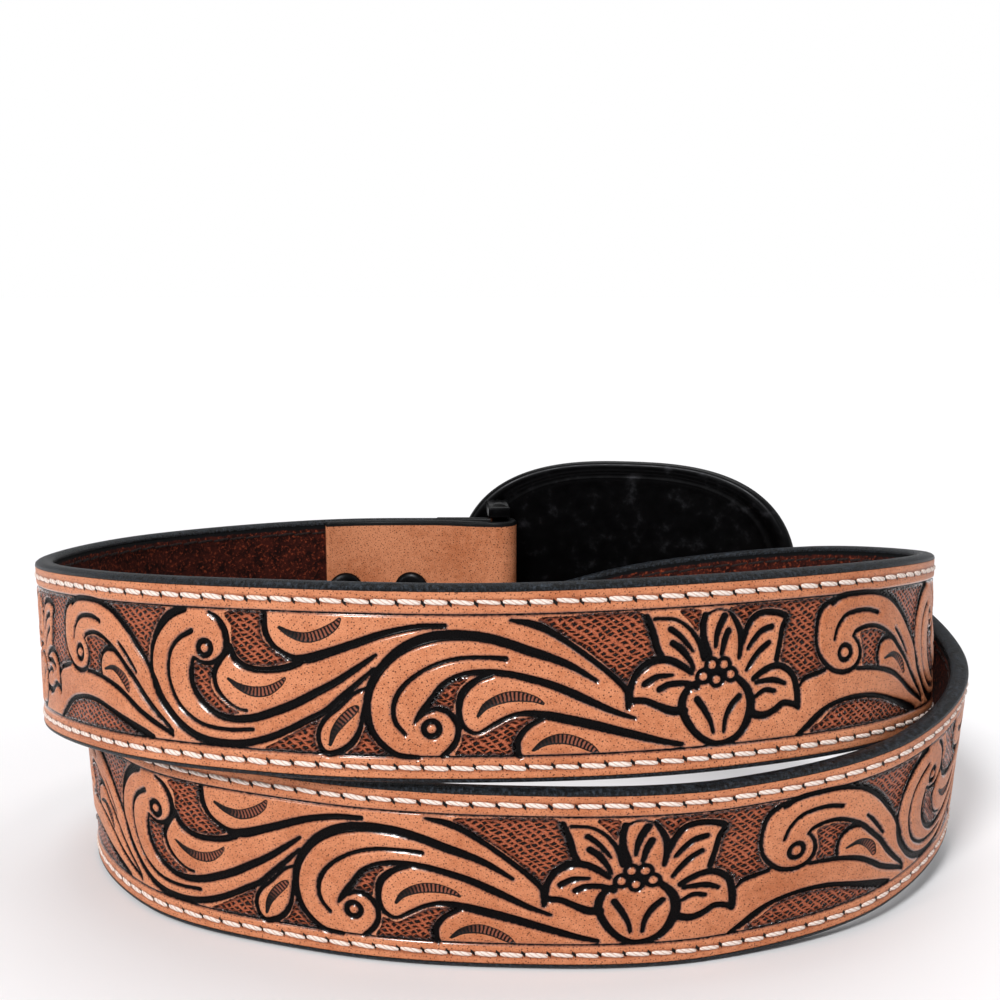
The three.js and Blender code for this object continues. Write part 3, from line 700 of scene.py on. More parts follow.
def mottle_group():
    """Soft blotches of two colours. Start and End are the noise values where the change begins and ends."""
    wanted = {"Place": "Vector", "Scale": "Float", "Roughness": "Float", "Start": "Float", "End": "Float",
              "Low": "Color", "High": "Color"}
    group, given, end = new_group("mottle", wanted, {"Colour": "Color", "Height": "Float"})
    noise = cloud(group, given["Place"], given["Scale"], 5.0, given["Roughness"])
    share = fade(group, noise, given["Start"], given["End"])
    wire(group, end, ("Colour", mix(group, share, given["Low"], given["High"])), ("Height", noise))
    return group


def placed_group(tree, group, *wires):
    """Places a node group in a material."""
    return add(tree, "ShaderNodeGroup", *wires, node_tree=group).outputs


LEATHER_PALE = dye(238, 172, 132)
LEATHER_LIGHT = dye(218, 143, 103)
LEATHER_MID = dye(186, 110, 71)
LEATHER_BROWN = dye(92, 34, 20)
GROUND_RIDGE = dye(196, 108, 72)
GROUND_SHADE = dye(146, 72, 48)
GROUND_PIT = dye(16, 5, 5)
CUT_BLACK = dye(6, 4, 5)
HATCH_BROWN = dye(140, 80, 60)
EDGE_BLACK = dye(10, 11, 13)
PORE_BROWN = dye(50, 18, 10)
NET_LOWERING = (0.42, -1.02)
NET_RISING = (0.5, 0.62)
NET_WANDER = (1.7, 1.7, 0)
DENT_DEPTH = 0.0006


def net_line(tree, parts, wave):
    """How far a place lies from one set of the ground's slanted lines, from 0 to a half."""
    return maths(tree, "PINGPONG", times_plus(tree, parts[1], wave[1], times(tree, parts[0], wave[0])), 0.5)


def tan_grain(tree, place, fleck, pore):
    """Tan leather, cloudy and flecked, with fine dark pores."""
    tone = times_plus(tree, cloud(tree, place, 0.05), 0.9, times(tree, cloud(tree, place, 0.6), 0.6))
    grain = mix(tree, fade(tree, tone, 0.45, 1.0), LEATHER_MID, LEATHER_LIGHT)
    grain = mix(tree, fade(tree, fleck, 0.48, 0.72, 0.0, 0.6), grain, LEATHER_BROWN)
    grain = mix(tree, fade(tree, fleck, 0.28, 0.42, 0.6, 0.0), grain, LEATHER_PALE)
    return mix(tree, times(tree, pore, 0.9), grain, PORE_BROWN)


def pit_depth_of_net(tree, place):
    """How deep a place lies in the pits between the two sets of slanted lines, which wander a little."""
    wires = ("Vector", place), ("Scale", 0.4), ("Detail", 3.0)
    wander = add(tree, "ShaderNodeTexNoise", *wires).outputs["Color"]
    wires = (0, wander), (1, NET_WANDER), (2, place)
    bent = add(tree, "ShaderNodeVectorMath", *wires, operation="MULTIPLY_ADD").outputs[0]
    parts = split(tree, bent)
    lines = maths(tree, "MAXIMUM", net_line(tree, parts, NET_LOWERING), net_line(tree, parts, NET_RISING))
    pit_size = fade(tree, cloud(tree, place, 0.9, 2.0), 0.3, 0.7, 0.17, 0.33)
    return maths(tree, "SUBTRACT", pit_size, lines)


def sewn_marks(tree, place, gap, colour):
    """The colour with painted shade along the thread's sunk channel, and at each end of a stitch a slanted
    near-black mark that stands for the shade inside its hole.
    """
    along, across = split(tree, place)[:2]
    from_row = maths(tree, "SUBTRACT", gap, STITCH_ROWS[0])
    row_gap = maths(tree, "ABSOLUTE", from_row)
    strap_half = maths(tree, "SIGN", maths(tree, "SUBTRACT", STRAP_MIDDLE, across))
    slanted = times_plus(tree, times(tree, from_row, strap_half), 0.5, along)
    step = maths(tree, "PINGPONG", slanted, STITCH_PITCH / 2)
    hole_gap = maths(tree, "ABSOLUTE", maths(tree, "SUBTRACT", from_row, 0.25))
    hole = maths(tree, "ADD", times(tree, step, 1.6), hole_gap)
    sewn = fade(tree, along, LINING_START, LINING_START + 0.5)
    # painted shade: the leather along each row is darkened for the shade of its sunk channel
    channel_shade = times(tree, sewn, fade(tree, row_gap, 0.45, 0.95, 0.5, 0.0))
    colour = mix(tree, channel_shade, colour, LEATHER_BROWN)
    # painted shade: a near-black slanted mark stands for the shade inside each stitch hole
    hole_shade = times(tree, sewn, fade(tree, hole, 0.65, 0.9, 1.0, 0.0))
    return mix(tree, hole_shade, colour, CUT_BLACK)


def tooled_leather():
    """Tan grain with pores, black dye in the cuts, netted ground and ridged crescents."""
    finish, tree, shader = finish_of("tooled leather")
    place = noted(tree, "flat")
    cut, ground, hatch = split(tree, noted(tree, "carving"))
    run = add(tree, "ShaderNodeAttribute", attribute_name="run").outputs["Fac"]
    rough_line = times(tree, maths(tree, "SUBTRACT", cloud(tree, place, 1.6), 0.5), 0.32)
    near_cut = maths(tree, "ADD", cut, rough_line)
    black = fade(tree, near_cut, -0.12, 0.02)
    in_ground = fade(tree, ground, -0.05, 0.2)
    fleck = cloud(tree, place, 4.5, 3.0, 0.7)
    pores = add(tree, "ShaderNodeTexVoronoi", ("Vector", place), ("Scale", 1.15), voronoi_dimensions="2D")
    pore_size = times_plus(tree, cloud(tree, place, 0.7), 0.2, pores.outputs["Distance"])
    pore = fade(tree, pore_size, 0.19, 0.26, 1.0, 0.0)
    pit_depth = pit_depth_of_net(tree, place)

    # the ground: flecked crests that turn browner towards the edges of each patch, and nearly black pits
    browner_to_edge = fade(tree, times_plus(tree, cloud(tree, place, 0.45), 2.4, ground), 0.9, 2.6, 0.85, 0.1)
    crest = mix(tree, fade(tree, fleck, 0.35, 0.65), GROUND_RIDGE, GROUND_SHADE)
    pit = fade(tree, pit_depth, -0.12, 0.05)
    netted = mix(tree, pit, mix(tree, browner_to_edge, crest, LEATHER_BROWN), GROUND_PIT)
    colour = mix(tree, in_ground, tan_grain(tree, place, fleck, pore), netted)

    # the dye: brown beside the cuts, smeared dark over the ground, ridged in the crescents, black in the cuts
    colour = mix(tree, fade(tree, near_cut, -0.34, -0.04, 0.0, 0.65), colour, LEATHER_BROWN)
    smear = times_plus(tree, cloud(tree, place, 0.6), 0.9, near_cut)
    smear = times(tree, fade(tree, smear, -0.7, 0.5, 0.0, 0.9), in_ground)
    colour = mix(tree, smear, colour, GROUND_PIT)
    ridge = maths(tree, "COSINE", times(tree, run, 2 * math.pi / HATCH_PITCH))
    ridge_shows = fade(tree, ridge, -0.5, 0.4, 1.0, 0.0)
    ridge_shows = times(tree, ridge_shows, fade(tree, run, 3.0, 7.5, 0.05, 1.0))
    hatched = mix(tree, ridge_shows, CUT_BLACK, HATCH_BROWN)
    hatched = mix(tree, fade(tree, hatch, 0.12, 0.3), CUT_BLACK, hatched)
    colour = mix(tree, fade(tree, hatch, -0.08, 0.04), colour, hatched)
    colour = mix(tree, black, colour, CUT_BLACK)
    gap = placed_group(tree, edge_gap, ("Place", place))["Gap"]
    colour = sewn_marks(tree, place, gap, colour)
    painted = fade(tree, times_plus(tree, rough_line, 0.6, gap), 1.2, 1.36, 1.0, 0.0)
    colour = mix(tree, painted, colour, EDGE_BLACK)

    # the gloss: satin grain, duller in the dye, and a clear coat that glints on the lips of the cuts
    dull = fade(tree, fleck, 0.3, 0.7, 0.32, 0.5)
    dull = times_plus(tree, in_ground, -0.1, times_plus(tree, black, -0.1, dull))
    dyed = maths(tree, "MAXIMUM", black, in_ground)
    shine = maths(tree, "SUBTRACT", 0.15, times(tree, dyed, 0.11))
    lip = fade(tree, near_cut, -0.55, -0.2)
    lip = times(tree, lip, fade(tree, near_cut, -0.08, 0.08, 1.0, 0.02))
    coat = times_plus(tree, in_ground, 0.3, maths(tree, "ADD", lip, 0.04))
    skin = bump(tree, 0.7, 0.00015, times_plus(tree, pore, -0.6, fleck))
    dents = times(tree, times(tree, fade(tree, pit_depth, -0.2, 0.2), in_ground), -1.0)
    wire(tree, shader, ("Base Color", colour), ("Roughness", dull), ("Specular IOR Level", shine),
         ("Coat Weight", coat), ("Coat Roughness", 0.18),
         ("Normal", bump(tree, 1.0, DENT_DEPTH, dents, skin)),
         ("Coat Normal", bump(tree, 1.0, DENT_DEPTH, dents)))
    return finish


edge_gap = edge_gap_group()
mottle = mottle_group()
leather = tooled_leather()
section = face_section()
for name, start, end, step in FACE_LENGTHS:
    alongs = np.linspace(start, end, int(round((end - start) / step)) + 1)
    piece = bar_along(name, alongs, section)
    if name == FACE_LENGTHS[-1][0]:
        punch(piece)
    carve(piece)
    lay_on_route(piece, EDGE_INSET)
    piece.data.materials.append(leather)
    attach(piece, "root")
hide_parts("tooled_strap")

# The folded end: the carved layer runs on round the buckle's bar and comes back behind the strap, plain and
# unlined, to where the two studs hold it. Its edges are rounded and painted like the rest.
FOLD_CORNER = 0.6
FOLD_MARGIN = 2
FOLD_FACE_POINTS = 18
FOLD_STEP = 0.8


def fold_section():
    """The ring of the single layer, with rounded corners."""
    turn = np.radians([0, 30, 60, 90])
    corner = FOLD_CORNER * np.column_stack([1 - np.cos(turn), 1 - np.sin(turn)])
    first = np.column_stack([corner[:, 0], FACE - corner[:, 1]])
    across = np.linspace(FOLD_MARGIN, STRAP_WIDTH - FOLD_MARGIN, FOLD_FACE_POINTS)
    face = np.column_stack([across, np.full(FOLD_FACE_POINTS, FACE)])
    last = np.column_stack([STRAP_WIDTH - first[::-1, 0], first[::-1, 1]])
    top = np.vstack([first, face, last])
    back = np.column_stack([top[::-1, 0], 2 * FACE - FACE_LAYER - top[::-1, 1]])
    return np.vstack([top, back])


fold_alongs = np.arange(distances[0], LINING_START, FOLD_STEP)
fold = bar_along("folded_end", np.append(fold_alongs, LINING_START), fold_section())
fold_points = len(fold.data.vertices)
note_on(fold, "carving", np.full((fold_points, 3), -CHART_REACH))
note_on(fold, "run", np.zeros(fold_points))
lay_on_route(fold)
fold.data.materials.append(leather)
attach(fold, "root")

# The lining: a 1.4 mm strip of dark red-brown suede glued and sewn behind the carved layer, nap side out.
# Its own edges are blackened for about 2 mm.
LINING_STEP = 1.2
SEAM_GAP = 0.02
SUEDE_DARK = dye(28, 8, 7)
SUEDE_MID = dye(64, 24, 17)
SUEDE_FIBRE = dye(150, 68, 42)


def suede():
    """Matt nap: mottled dark red-brown with lighter fibres standing up in it."""
    finish, tree, shader = finish_of("suede")
    place = noted(tree, "flat")
    patches = placed_group(tree, mottle, ("Place", place), ("Scale", 0.35), ("Roughness", 0.65),
                           ("Start", 0.35), ("End", 0.65), ("Low", SUEDE_DARK), ("High", SUEDE_MID))
    tufts = placed_group(tree, mottle, ("Place", place), ("Scale", 1.1), ("Roughness", 0.75),
                         ("Start", 0.52), ("End", 0.68), ("Low", patches["Colour"]), ("High", SUEDE_FIBRE))
    gap = placed_group(tree, edge_gap, ("Place", place))["Gap"]
    gap = maths(tree, "ADD", gap, cloud(tree, place, 0.6))
    colour = mix(tree, fade(tree, gap, 2.4, 2.9, 1.0, 0.0), tufts["Colour"], EDGE_BLACK)
    nap = bump(tree, 0.8, 0.0004, tufts["Height"])
    wire(tree, shader, ("Base Color", colour), ("Roughness", 0.95), ("Specular IOR Level", 0.15),
         ("Normal", nap))
    return finish


inner_across = np.linspace(EDGE_INSET, STRAP_WIDTH - EDGE_INSET, 4)
lining_front = [(across, LINING_FRONT - SEAM_GAP) for across in inner_across]
outer_across = np.linspace(STRAP_WIDTH - EDGE_INSET, EDGE_INSET, 16)
lining_back = [(across, LINING_BACK) for across in outer_across]
lining_end = strap_length - EDGE_INSET
lining_alongs = np.linspace(LINING_START, lining_end, int((lining_end - LINING_START) / LINING_STEP))
lining = bar_along("suede_lining", lining_alongs, np.array(lining_front + lining_back))
punch(lining)
lay_on_route(lining, EDGE_INSET)
lining.data.materials.append(suede())
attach(lining, "root")
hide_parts("strap_lining")

# The painted edge: both layers are rounded off together, burnished and painted black. The paint laps a
# millimetre over the face and runs along the lower edge, round the billet's point and back along the top.
EDGE_FILM = 0.05
EDGE_STEP = 1.2
EDGE_ROUNDNESS = 0.8
EDGE_TIP_POINTS = 26
EDGE_GREY = dye(68, 76, 86)
PAINT_STRETCH = (0.9, 0.6, 0.6)


def edge_outline():
    """The outline of the lined strap: along and across, from the lower edge round the tip to the upper."""
    straight = np.arange(LINING_START, strap_length - TIP_LENGTH, EDGE_STEP)
    turn = np.radians(np.linspace(0, 90, EDGE_TIP_POINTS))
    tip_along = strap_length - TIP_LENGTH * (1 - np.sin(turn))
    tip_across = STRAP_MIDDLE * (1 - TIP_WIDTH_SHARE - (1 - TIP_WIDTH_SHARE) * np.cos(turn))
    across = np.append(np.zeros(len(straight)), tip_across)
    lower = np.column_stack([np.append(straight, tip_along), across])
    end = [(strap_length, STRAP_MIDDLE)]
    upper = lower[::-1] * (1, -1) + (0, STRAP_WIDTH)
    return np.vstack([lower, end, upper])


def edge_section():
    """The rounded edge as a D: inward from the outline, and out of the strap."""
    turn = np.radians(np.linspace(0, 180, 9))
    inward = EDGE_INSET * (1 - np.sin(turn) ** EDGE_ROUNDNESS) + SEAM_GAP
    return np.column_stack([inward, (FACE + EDGE_FILM) * np.cos(turn)])


def edge_paint():
    """Black paint over fibrous leather, wrinkled and mottled a little greyer."""
    finish, tree, shader = finish_of("edge paint")
    wires = ("Vector", noted(tree, "flat")), ("Scale", PAINT_STRETCH)
    place = add(tree, "ShaderNodeMapping", *wires).outputs[0]
    paint = placed_group(tree, mottle, ("Place", place), ("Scale", 1.7), ("Roughness", 0.75),
                         ("Start", 0.44), ("End", 0.72), ("Low", EDGE_BLACK), ("High", EDGE_GREY))
    dull = fade(tree, paint["Height"], 0.3, 0.7, 0.26, 0.42)
    wrinkles = bump(tree, 1.0, 0.0007, paint["Height"])
    wire(tree, shader, ("Base Color", paint["Colour"]), ("Roughness", dull), ("Specular IOR Level", 0.22),
         ("Normal", wrinkles))
    return finish


outline = edge_outline()
ahead = np.gradient(outline, axis=0)
ahead /= np.linalg.norm(ahead, axis=1)[:, None]
inside = np.column_stack([-ahead[:, 1], ahead[:, 0]])
ring = edge_section()
places_flat = np.empty((len(outline), len(ring), 3))
places_flat[:, :, :2] = outline[:, None] + inside[:, None] * ring[None, :, 0, None]
places_flat[:, :, 2] = ring[:, 1]
places_flat = places_flat.reshape(-1, 3)
edge = bar_along("painted_edge", np.arange(len(outline)), ring)
note_on(edge, "flat", places_flat)
move_to(edge, laid(places_flat))
edge.data.materials.append(edge_paint())
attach(edge, "root")

# The stitching: two rows of waxed cream thread, a stitch every 4.9 mm, 3.2 mm from each edge. On the
# lining side the same rows show a dark under-thread, sunk in the nap.
STITCH_HALF_LENGTH = 2.3
STITCH_HALF_WIDTH = 0.53
STITCH_HALF_HEIGHT = 0.5
STITCH_LIFT = -0.22
STITCH_SLANT = -0.08
STITCH_DROP = 0.14
STITCH_SQUARENESS = 0.62
BEAD_SIDES = 8
BEAD_RINGS = 7
LENGTH_SPREAD = 0.04
WIDTH_SPREAD = 0.06
SLANT_SPREAD = 0.02
ROW_SPREAD = 0.05
THREAD_TWIST = 1.35
LINING_STITCH_SINK = 0.12
LINING_STITCH_SHARE = 0.7
rng = np.random.default_rng(5)


def one_stitch():
    """A stitch as a plump bead of thread lying along X, in millimetres: its points and faces."""
    bpy.ops.object.select_all(action="DESELECT")
    bpy.ops.mesh.primitive_uv_sphere_add(segments=BEAD_SIDES, ring_count=BEAD_RINGS, radius=1)
    bead = bpy.context.object
    points = places_of(bead)[:, [2, 0, 1]]
    faces = [list(face.vertices) for face in bead.data.polygons]
    bpy.data.objects.remove(bead)
    thickness = np.hypot(points[:, 1], points[:, 2])
    points[:, 1:] *= np.maximum(thickness, 0.01)[:, None] ** -STITCH_SQUARENESS
    points[:, 2] -= STITCH_DROP / STITCH_HALF_HEIGHT * points[:, 0] ** 4
    return points * (STITCH_HALF_LENGTH, STITCH_HALF_WIDTH, STITCH_HALF_HEIGHT), faces


def stitch_rows(points, faces, out, thickness):
    """Both rows of stitches as one list of points and faces, each a little different from the next."""
    all_points, all_faces = [], []
    starts = np.arange(LINING_START + STITCH_PITCH, strap_length - TIP_LENGTH / 2, STITCH_PITCH)
    starts = np.round(starts / STITCH_PITCH) * STITCH_PITCH + STITCH_PITCH / 2
    for row in STITCH_ROWS:
        for start in starts:
            longer = 1 + LENGTH_SPREAD * rng.standard_normal()
            wider = 1 + WIDTH_SPREAD * rng.standard_normal()
            bead = points * (longer, thickness * wider, thickness)
            bead[:, 1] += bead[:, 0] * (STITCH_SLANT + SLANT_SPREAD * rng.standard_normal())
            place = (start, row + ROW_SPREAD * rng.standard_normal(), out)
            offset = len(all_points) * len(points)
            all_points.append(bead + place)
            all_faces += [[vertex + offset for vertex in face] for face in faces]
    return np.vstack(all_points), all_faces


def twist_group():
    """Two plies twisted together: a slanted crest, and painted shade in the hollow between them, with some
    fuzz.
    """
    wanted = {"Place": "Vector", "Crest": "Color", "Groove": "Color"}
    group, given, end = new_group("twisted thread", wanted, {"Colour": "Color", "Height": "Float"})
    along, across = split(group, given["Place"])[:2]
    turn = times(group, times_plus(group, across, 1.5, along), 2 * math.pi / THREAD_TWIST)
    fuzz = cloud(group, given["Place"], 5.0)
    height = times_plus(group, fuzz, 0.9, maths(group, "SINE", turn))
    # painted shade: the colour darkens from the crest into the hollow between the plies
    colour = mix(group, fade(group, height, -0.9, 0.4), given["Groove"], given["Crest"])
    wire(group, end, ("Colour", colour), ("Height", height))
    return group


twist = twist_group()


def thread(name, crest, groove_shade, dullness):
    """Waxed twisted thread of one colour."""
    finish, tree, shader = finish_of(name)
    plies = placed_group(tree, twist, ("Place", noted(tree, "flat")), ("Crest", crest), ("Groove", groove_shade))
    wire(tree, shader, ("Base Color", plies["Colour"]), ("Roughness", dullness),
         ("Normal", bump(tree, 0.6, 0.00012, plies["Height"])))
    return finish


bead_points, bead_faces = one_stitch()
# the thread's second colour is painted shade for the hollow between its plies
cream = thread("cream thread", dye(244, 229, 219), dye(200, 164, 146), 0.65)
sewn_rows = stitch_rows(bead_points, bead_faces, FACE + STITCH_LIFT, 1.0)
stitching = new_piece("face_stitches", *sewn_rows)
lay_on_route(stitching)
stitching.data.materials.append(cream)
# the second colour is again painted shade for the hollow between the plies
under = thread("dark thread", dye(34, 15, 11), dye(16, 8, 7), 0.95)
under_out = LINING_BACK + LINING_STITCH_SINK
under_rows = stitch_rows(bead_points, bead_faces, under_out, LINING_STITCH_SHARE)
under_stitching = new_piece("lining_stitches", *under_rows)
lay_on_route(under_stitching)
under_stitching.data.materials.append(under)
for piece in (stitching, under_stitching):
    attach(piece, "root")

# The buckle: one casting of blackened metal. It is a bent oval plate with a raised rim on both sides, with a
# bar between two lugs that the strap folds round, and with a blunt hook near the free end that takes a hole
# of the billet.
PLATE_HALF_LENGTH = 48.0
PLATE_HALF_HEIGHT = 34.0
PLATE_ROUNDNESS = 2.7
PLATE_BEND_RADIUS = 125.0
PLATE_MIDDLE = np.array([35.8, 83.8]) - coil_middle
PLATE_MIDDLE_HEIGHT = 44.0
PLATE_ANGLE = math.radians(77.3)
PLATE_RINGS = [
    (0.04, -1.2), (0.3, -1.2), (0.6, -1.2), (0.8, -1.2), (0.85, -1.25), (0.865, -1.5), (0.88, -1.25),
    (0.91, -1.2), (0.925, -1.75), (0.945, -1.95), (0.975, -1.95), (0.995, -1.5), (1.0, -0.6), (1.0, 0.6),
    (0.995, 1.4), (0.97, 2.2), (0.945, 2.3), (0.92, 2.1), (0.9, 1.3), (0.86, 1.2), (0.8, 1.25), (0.6, 1.6),
    (0.3, 1.9), (0.04, 2.0),
]
PLATE_SIDES = 96
LUG_THICKNESS = 3.0
LUG_WIDTH = 6.0
LUG_CLEARANCE = 0.8
LUG_ROUNDING = 0.5
HOOK_PLACE = 36.0
HOOK_RINGS = [
    (1.0, -9.2), (2.2, -8.8), (2.9, -7.4), (2.9, -6.2), (2.3, -4.9), (2.0, -4.2), (2.0, -0.2), (2.6, 0.0),
]
METAL_BLACK = dye(7, 7, 9)
METAL_WORN = dye(58, 58, 62)
ROUND_SIDES = 32
BAR_CHAMFER = 0.4


def drawn_out(name, rings, sides):
    """A closed round body: a disc drawn out along Z through rings of (radius, height)."""
    bpy.ops.object.select_all(action="DESELECT")
    bpy.ops.mesh.primitive_circle_add(vertices=sides, radius=rings[0][0], fill_type="NGON",
                                      location=(0, 0, rings[0][1]))
    body = bpy.context.object
    body.name = name
    bpy.ops.object.mode_set(mode="EDIT")
    bpy.ops.mesh.select_all(action="SELECT")
    bpy.ops.mesh.normals_make_consistent(inside=False)
    for (radius, height), (next_radius, next_height) in zip(rings, rings[1:]):
        bpy.ops.mesh.extrude_region_move(TRANSFORM_OT_translate={"value": (0, 0, next_height - height)})
        share = next_radius / radius
        bpy.ops.transform.resize(value=(share, share, 1))
    bpy.ops.mesh.select_all(action="SELECT")
    bpy.ops.mesh.normals_make_consistent(inside=False)
    bpy.ops.object.mode_set(mode="OBJECT")
    bpy.ops.object.transform_apply(location=True, rotation=True, scale=True)
    return body


def plate_normal(along):
    """The way out of the bent plate at a distance along it from its middle."""
    angle = PLATE_ANGLE - np.asarray(along) / PLATE_BEND_RADIUS
    return np.stack([np.cos(angle), np.sin(angle)], -1)


plate_centre = PLATE_MIDDLE - plate_normal(0) * PLATE_BEND_RADIUS


def on_plate(body):
    """Bends a body made round the origin on to the plate: X runs along it, Y up it, Z out of it."""
    along, up, out = places_of(body).T
    plan = plate_centre + plate_normal(along) * (PLATE_BEND_RADIUS + out)[:, None]
    move_to(body, np.column_stack([plan, up + PLATE_MIDDLE_HEIGHT]))


def join_to(body, extra):
    """Welds another closed body to this one."""
    bpy.ops.object.select_all(action="DESELECT")
    bpy.context.view_layer.objects.active = body
    weld = body.modifiers.new("weld", "BOOLEAN")
    weld.operation = "UNION"
    weld.object = extra
    bpy.ops.object.modifier_apply(modifier=weld.name)
    bpy.data.objects.remove(extra)


def blackened_metal():
    """Blackened metal: nearly black, satin, with fine mottling and lighter rubbed spots."""
    finish, tree, shader = finish_of("blackened metal")
    place = add(tree, "ShaderNodeTexCoord").outputs["Object"]
    cast = placed_group(tree, mottle, ("Place", place), ("Scale", 260.0), ("Roughness", 0.6),
                        ("Start", 0.55), ("End", 0.85), ("Low", METAL_BLACK), ("High", METAL_WORN))
    dull = fade(tree, cast["Height"], 0.3, 0.7, 0.28, 0.42)
    pitting = bump(tree, 0.2, 0.0002, cast["Height"])
    wire(tree, shader, ("Base Color", cast["Colour"]), ("Roughness", dull), ("Metallic", 0.8),
         ("Normal", pitting))
    return finish


metal = blackened_metal()
plate = drawn_out("buckle_plate", PLATE_RINGS, PLATE_SIDES)
disc = places_of(plate)
share = np.hypot(disc[:, :1], disc[:, 1:2])
turned = np.arctan2(disc[:, 1], disc[:, 0])
waves = np.column_stack([np.cos(turned), np.sin(turned)])
oval = np.sign(waves) * np.abs(waves) ** (2 / PLATE_ROUNDNESS)
disc[:, :2] = (PLATE_HALF_LENGTH, PLATE_HALF_HEIGHT) * share * oval
move_to(plate, disc)
smooth = plate.modifiers.new("smooth", "SUBSURF")
smooth.levels = smooth.render_levels = 1
bpy.context.view_layer.objects.active = plate
bpy.ops.object.modifier_apply(modifier=smooth.name)
on_plate(plate)

hook = drawn_out("hook", HOOK_RINGS, ROUND_SIDES)
move_to(hook, places_of(hook) + (HOOK_PLACE, 0, 0))
on_plate(hook)
join_to(plate, hook)

heel = np.searchsorted(distances, 0)
bar_plan = places[heel, :2] + outwards[heel] * (FACE_LAYER_MIDDLE - FOLD_RADIUS)
bar_height = places[heel, 2] + STRAP_MIDDLE
half_span = STRAP_MIDDLE + LUG_CLEARANCE + LUG_THICKNESS
bar_end = half_span - BAR_CHAMFER
bar_rings = [(BAR_RADIUS - BAR_CHAMFER, -half_span), (BAR_RADIUS, -bar_end), (BAR_RADIUS, bar_end),
             (BAR_RADIUS - BAR_CHAMFER, half_span)]
rod = drawn_out("bar", bar_rings, ROUND_SIDES)
move_to(rod, places_of(rod) + (*bar_plan, bar_height))
join_to(plate, rod)
from_centre = bar_plan - plate_centre
reach = PLATE_BEND_RADIUS - np.linalg.norm(from_centre)
lug_out = from_centre / np.linalg.norm(from_centre)
lug_angle = math.atan2(lug_out[1], lug_out[0])
lug_length = reach + LUG_WIDTH / 2
lug_middle = bar_plan + lug_out * (reach - lug_length / 2)
for side in (-1, 1):
    bpy.ops.object.select_all(action="DESELECT")
    lug_height = bar_height + side * (half_span - LUG_THICKNESS / 2)
    bpy.ops.mesh.primitive_cube_add(size=1, location=(*lug_middle, lug_height), rotation=(0, 0, lug_angle),
                                    scale=(lug_length, LUG_WIDTH, LUG_THICKNESS))
    lug = bpy.context.object
    bpy.ops.object.transform_apply(location=True, rotation=True, scale=True)
    round_off = lug.modifiers.new("round", "BEVEL")
    round_off.width = LUG_ROUNDING
    round_off.segments = 3
    bpy.ops.object.modifier_apply(modifier=round_off.name)
    join_to(plate, lug)
plate.data.transform(Matrix.Scale(MM, 4))
plate.data.materials.clear()
plate.data.materials.append(metal)
plate.data.shade_smooth()
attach(plate, "root")
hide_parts("buckle")

# The fold studs: two screw studs of the same blackened metal. Each has a low domed head on the face and
# another on the folded end, and its shank goes through both layers.
STUD_DISTANCES = (24.0, 44.0)
# rings of a head: radius, and height over the leather
STUD_HEAD = [(0.6, 1.4), (3.4, 1.25), (4.3, 0.95), (4.7, 0.5), (4.75, 0)]
STUD_SHANK = 1.9
STUD_SIDES = 48
STUD_OUTER = FACE + EDGE_FILM
STUD_INNER = RETURN_MIDDLE - FACE_LAYER / 2 - LAYER_GAP
STUD_RINGS = [(radius, STUD_INNER - height) for radius, height in STUD_HEAD]
STUD_RINGS += [(STUD_SHANK, STUD_INNER + SEAM_GAP), (STUD_SHANK, STUD_OUTER - SEAM_GAP)]
STUD_RINGS += [(radius, STUD_OUTER + height) for radius, height in reversed(STUD_HEAD)]
for i, distance in enumerate(STUD_DISTANCES):
    stud = drawn_out(f"screw_stud_{i + 1}", STUD_RINGS, STUD_SIDES)
    middle = laid(np.array([[distance, STRAP_MIDDLE, 0]]))
    stud_out = laid(np.array([[distance, STRAP_MIDDLE, 1]])) - middle
    stud_along = np.array([[-stud_out[0, 1], stud_out[0, 0], 0]])
    local = places_of(stud)
    turned = local[:, :1] * stud_along + local[:, 1:2] * (0, 0, MM) + local[:, 2:] * stud_out
    move_to(stud, middle + turned)
    stud.data.materials.append(metal)
    stud.data.shade_smooth()
    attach(stud, "root")
    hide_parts(f"fold_stud_{i + 1}")

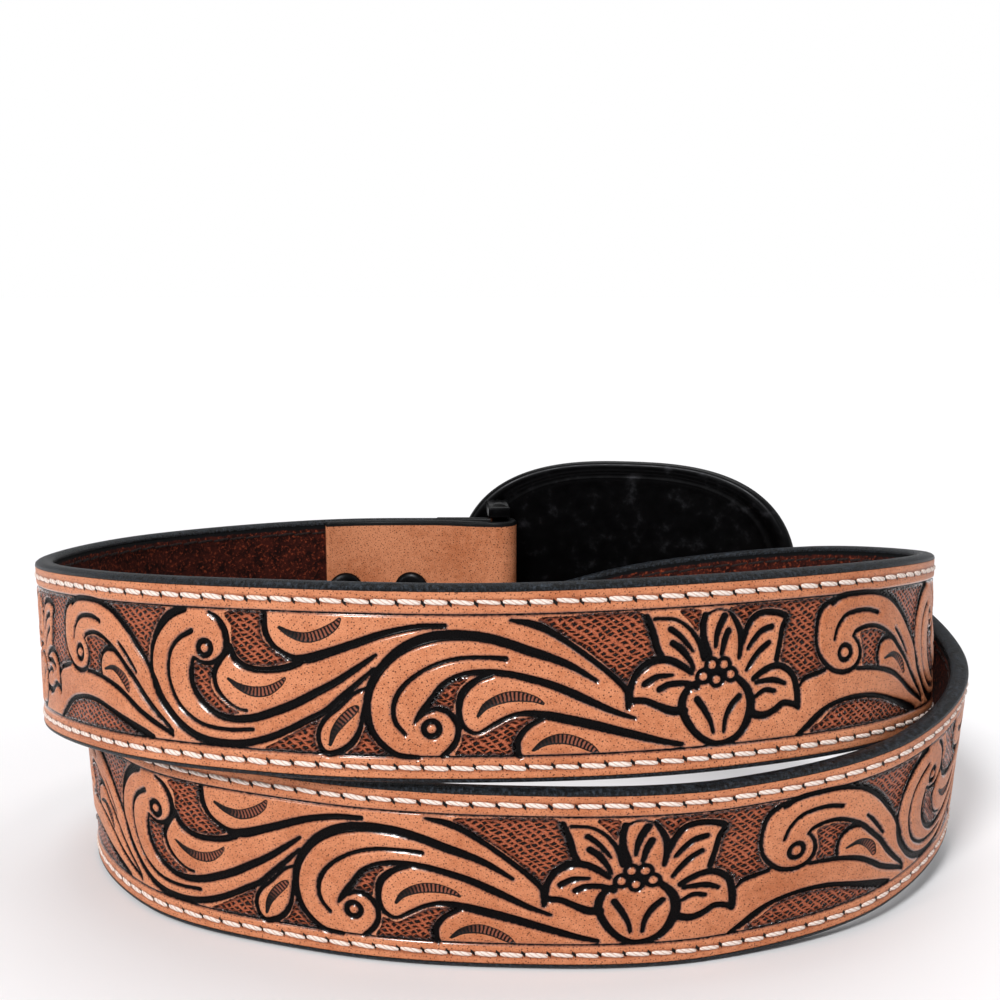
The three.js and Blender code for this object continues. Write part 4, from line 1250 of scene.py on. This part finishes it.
# Studio: a white floor in a white room, lit by soft lamps from the left, the right and above, and by a small
# one that glints on the lips of the cuts. The camera stands where the photograph's did. The room looks white
# but gives only part of its light, so black stays black.
CAMERA_PLACE = (-0.00077, -0.39375, 0.1422)
CAMERA_PITCH = math.radians(80.85)
CAMERA_LENS = 61.21
FLOOR_WHITE = (0.9, 0.895, 0.91, 1)
ROOM_LIGHT = 0.31
camera = bpy.data.objects.new("camera", bpy.data.cameras.new("camera"))
camera.data.lens = CAMERA_LENS
camera.data.clip_start = 0.01
camera.location = CAMERA_PLACE
camera.rotation_euler = (CAMERA_PITCH, 0, 0)
bpy.context.scene.collection.objects.link(camera)
bpy.context.scene.camera = camera
bpy.context.scene.view_settings.view_transform = "Standard"

bpy.ops.mesh.primitive_plane_add(size=6, location=(0, 0, 0))
floor = bpy.context.object
floor.name = "floor"
floor_paint, floor_tree, floor_shader = finish_of("white floor")
wire(floor_tree, floor_shader, ("Base Color", FLOOR_WHITE), ("Roughness", 0.8), ("Specular IOR Level", 0.1))
floor.data.materials.append(floor_paint)

room = bpy.data.worlds.new("room")
room.use_nodes = True
seen = room.node_tree.nodes.new("ShaderNodeLightPath").outputs["Is Camera Ray"]
strength = times_plus(room.node_tree, seen, 1 - ROOM_LIGHT, ROOM_LIGHT)
background = room.node_tree.nodes["Background"]
wire(room.node_tree, background, ("Color", (1, 1, 1, 1)), ("Strength", strength))
bpy.context.scene.world = room

LAMPS = [
    ("left lamp", (-0.38, -0.86, 0.78), 12, 2.35),
    ("small lamp", (-0.9, -0.75, 0.3), 5, 0.28),
    ("right lamp", (0.75, -0.45, 0.8), 24, 0.25),
    ("top lamp", (0.1, 0.45, 1.0), 45, 1.1),
]
for name, place, softness, power in LAMPS:
    lamp = bpy.data.objects.new(name, bpy.data.lights.new(name, "SUN"))
    lamp.data.angle = math.radians(softness)
    lamp.data.energy = power
    lamp.location = place
    lamp.rotation_euler = (-lamp.location).to_track_quat("-Z", "Y").to_euler()
    bpy.context.scene.collection.objects.link(lamp)
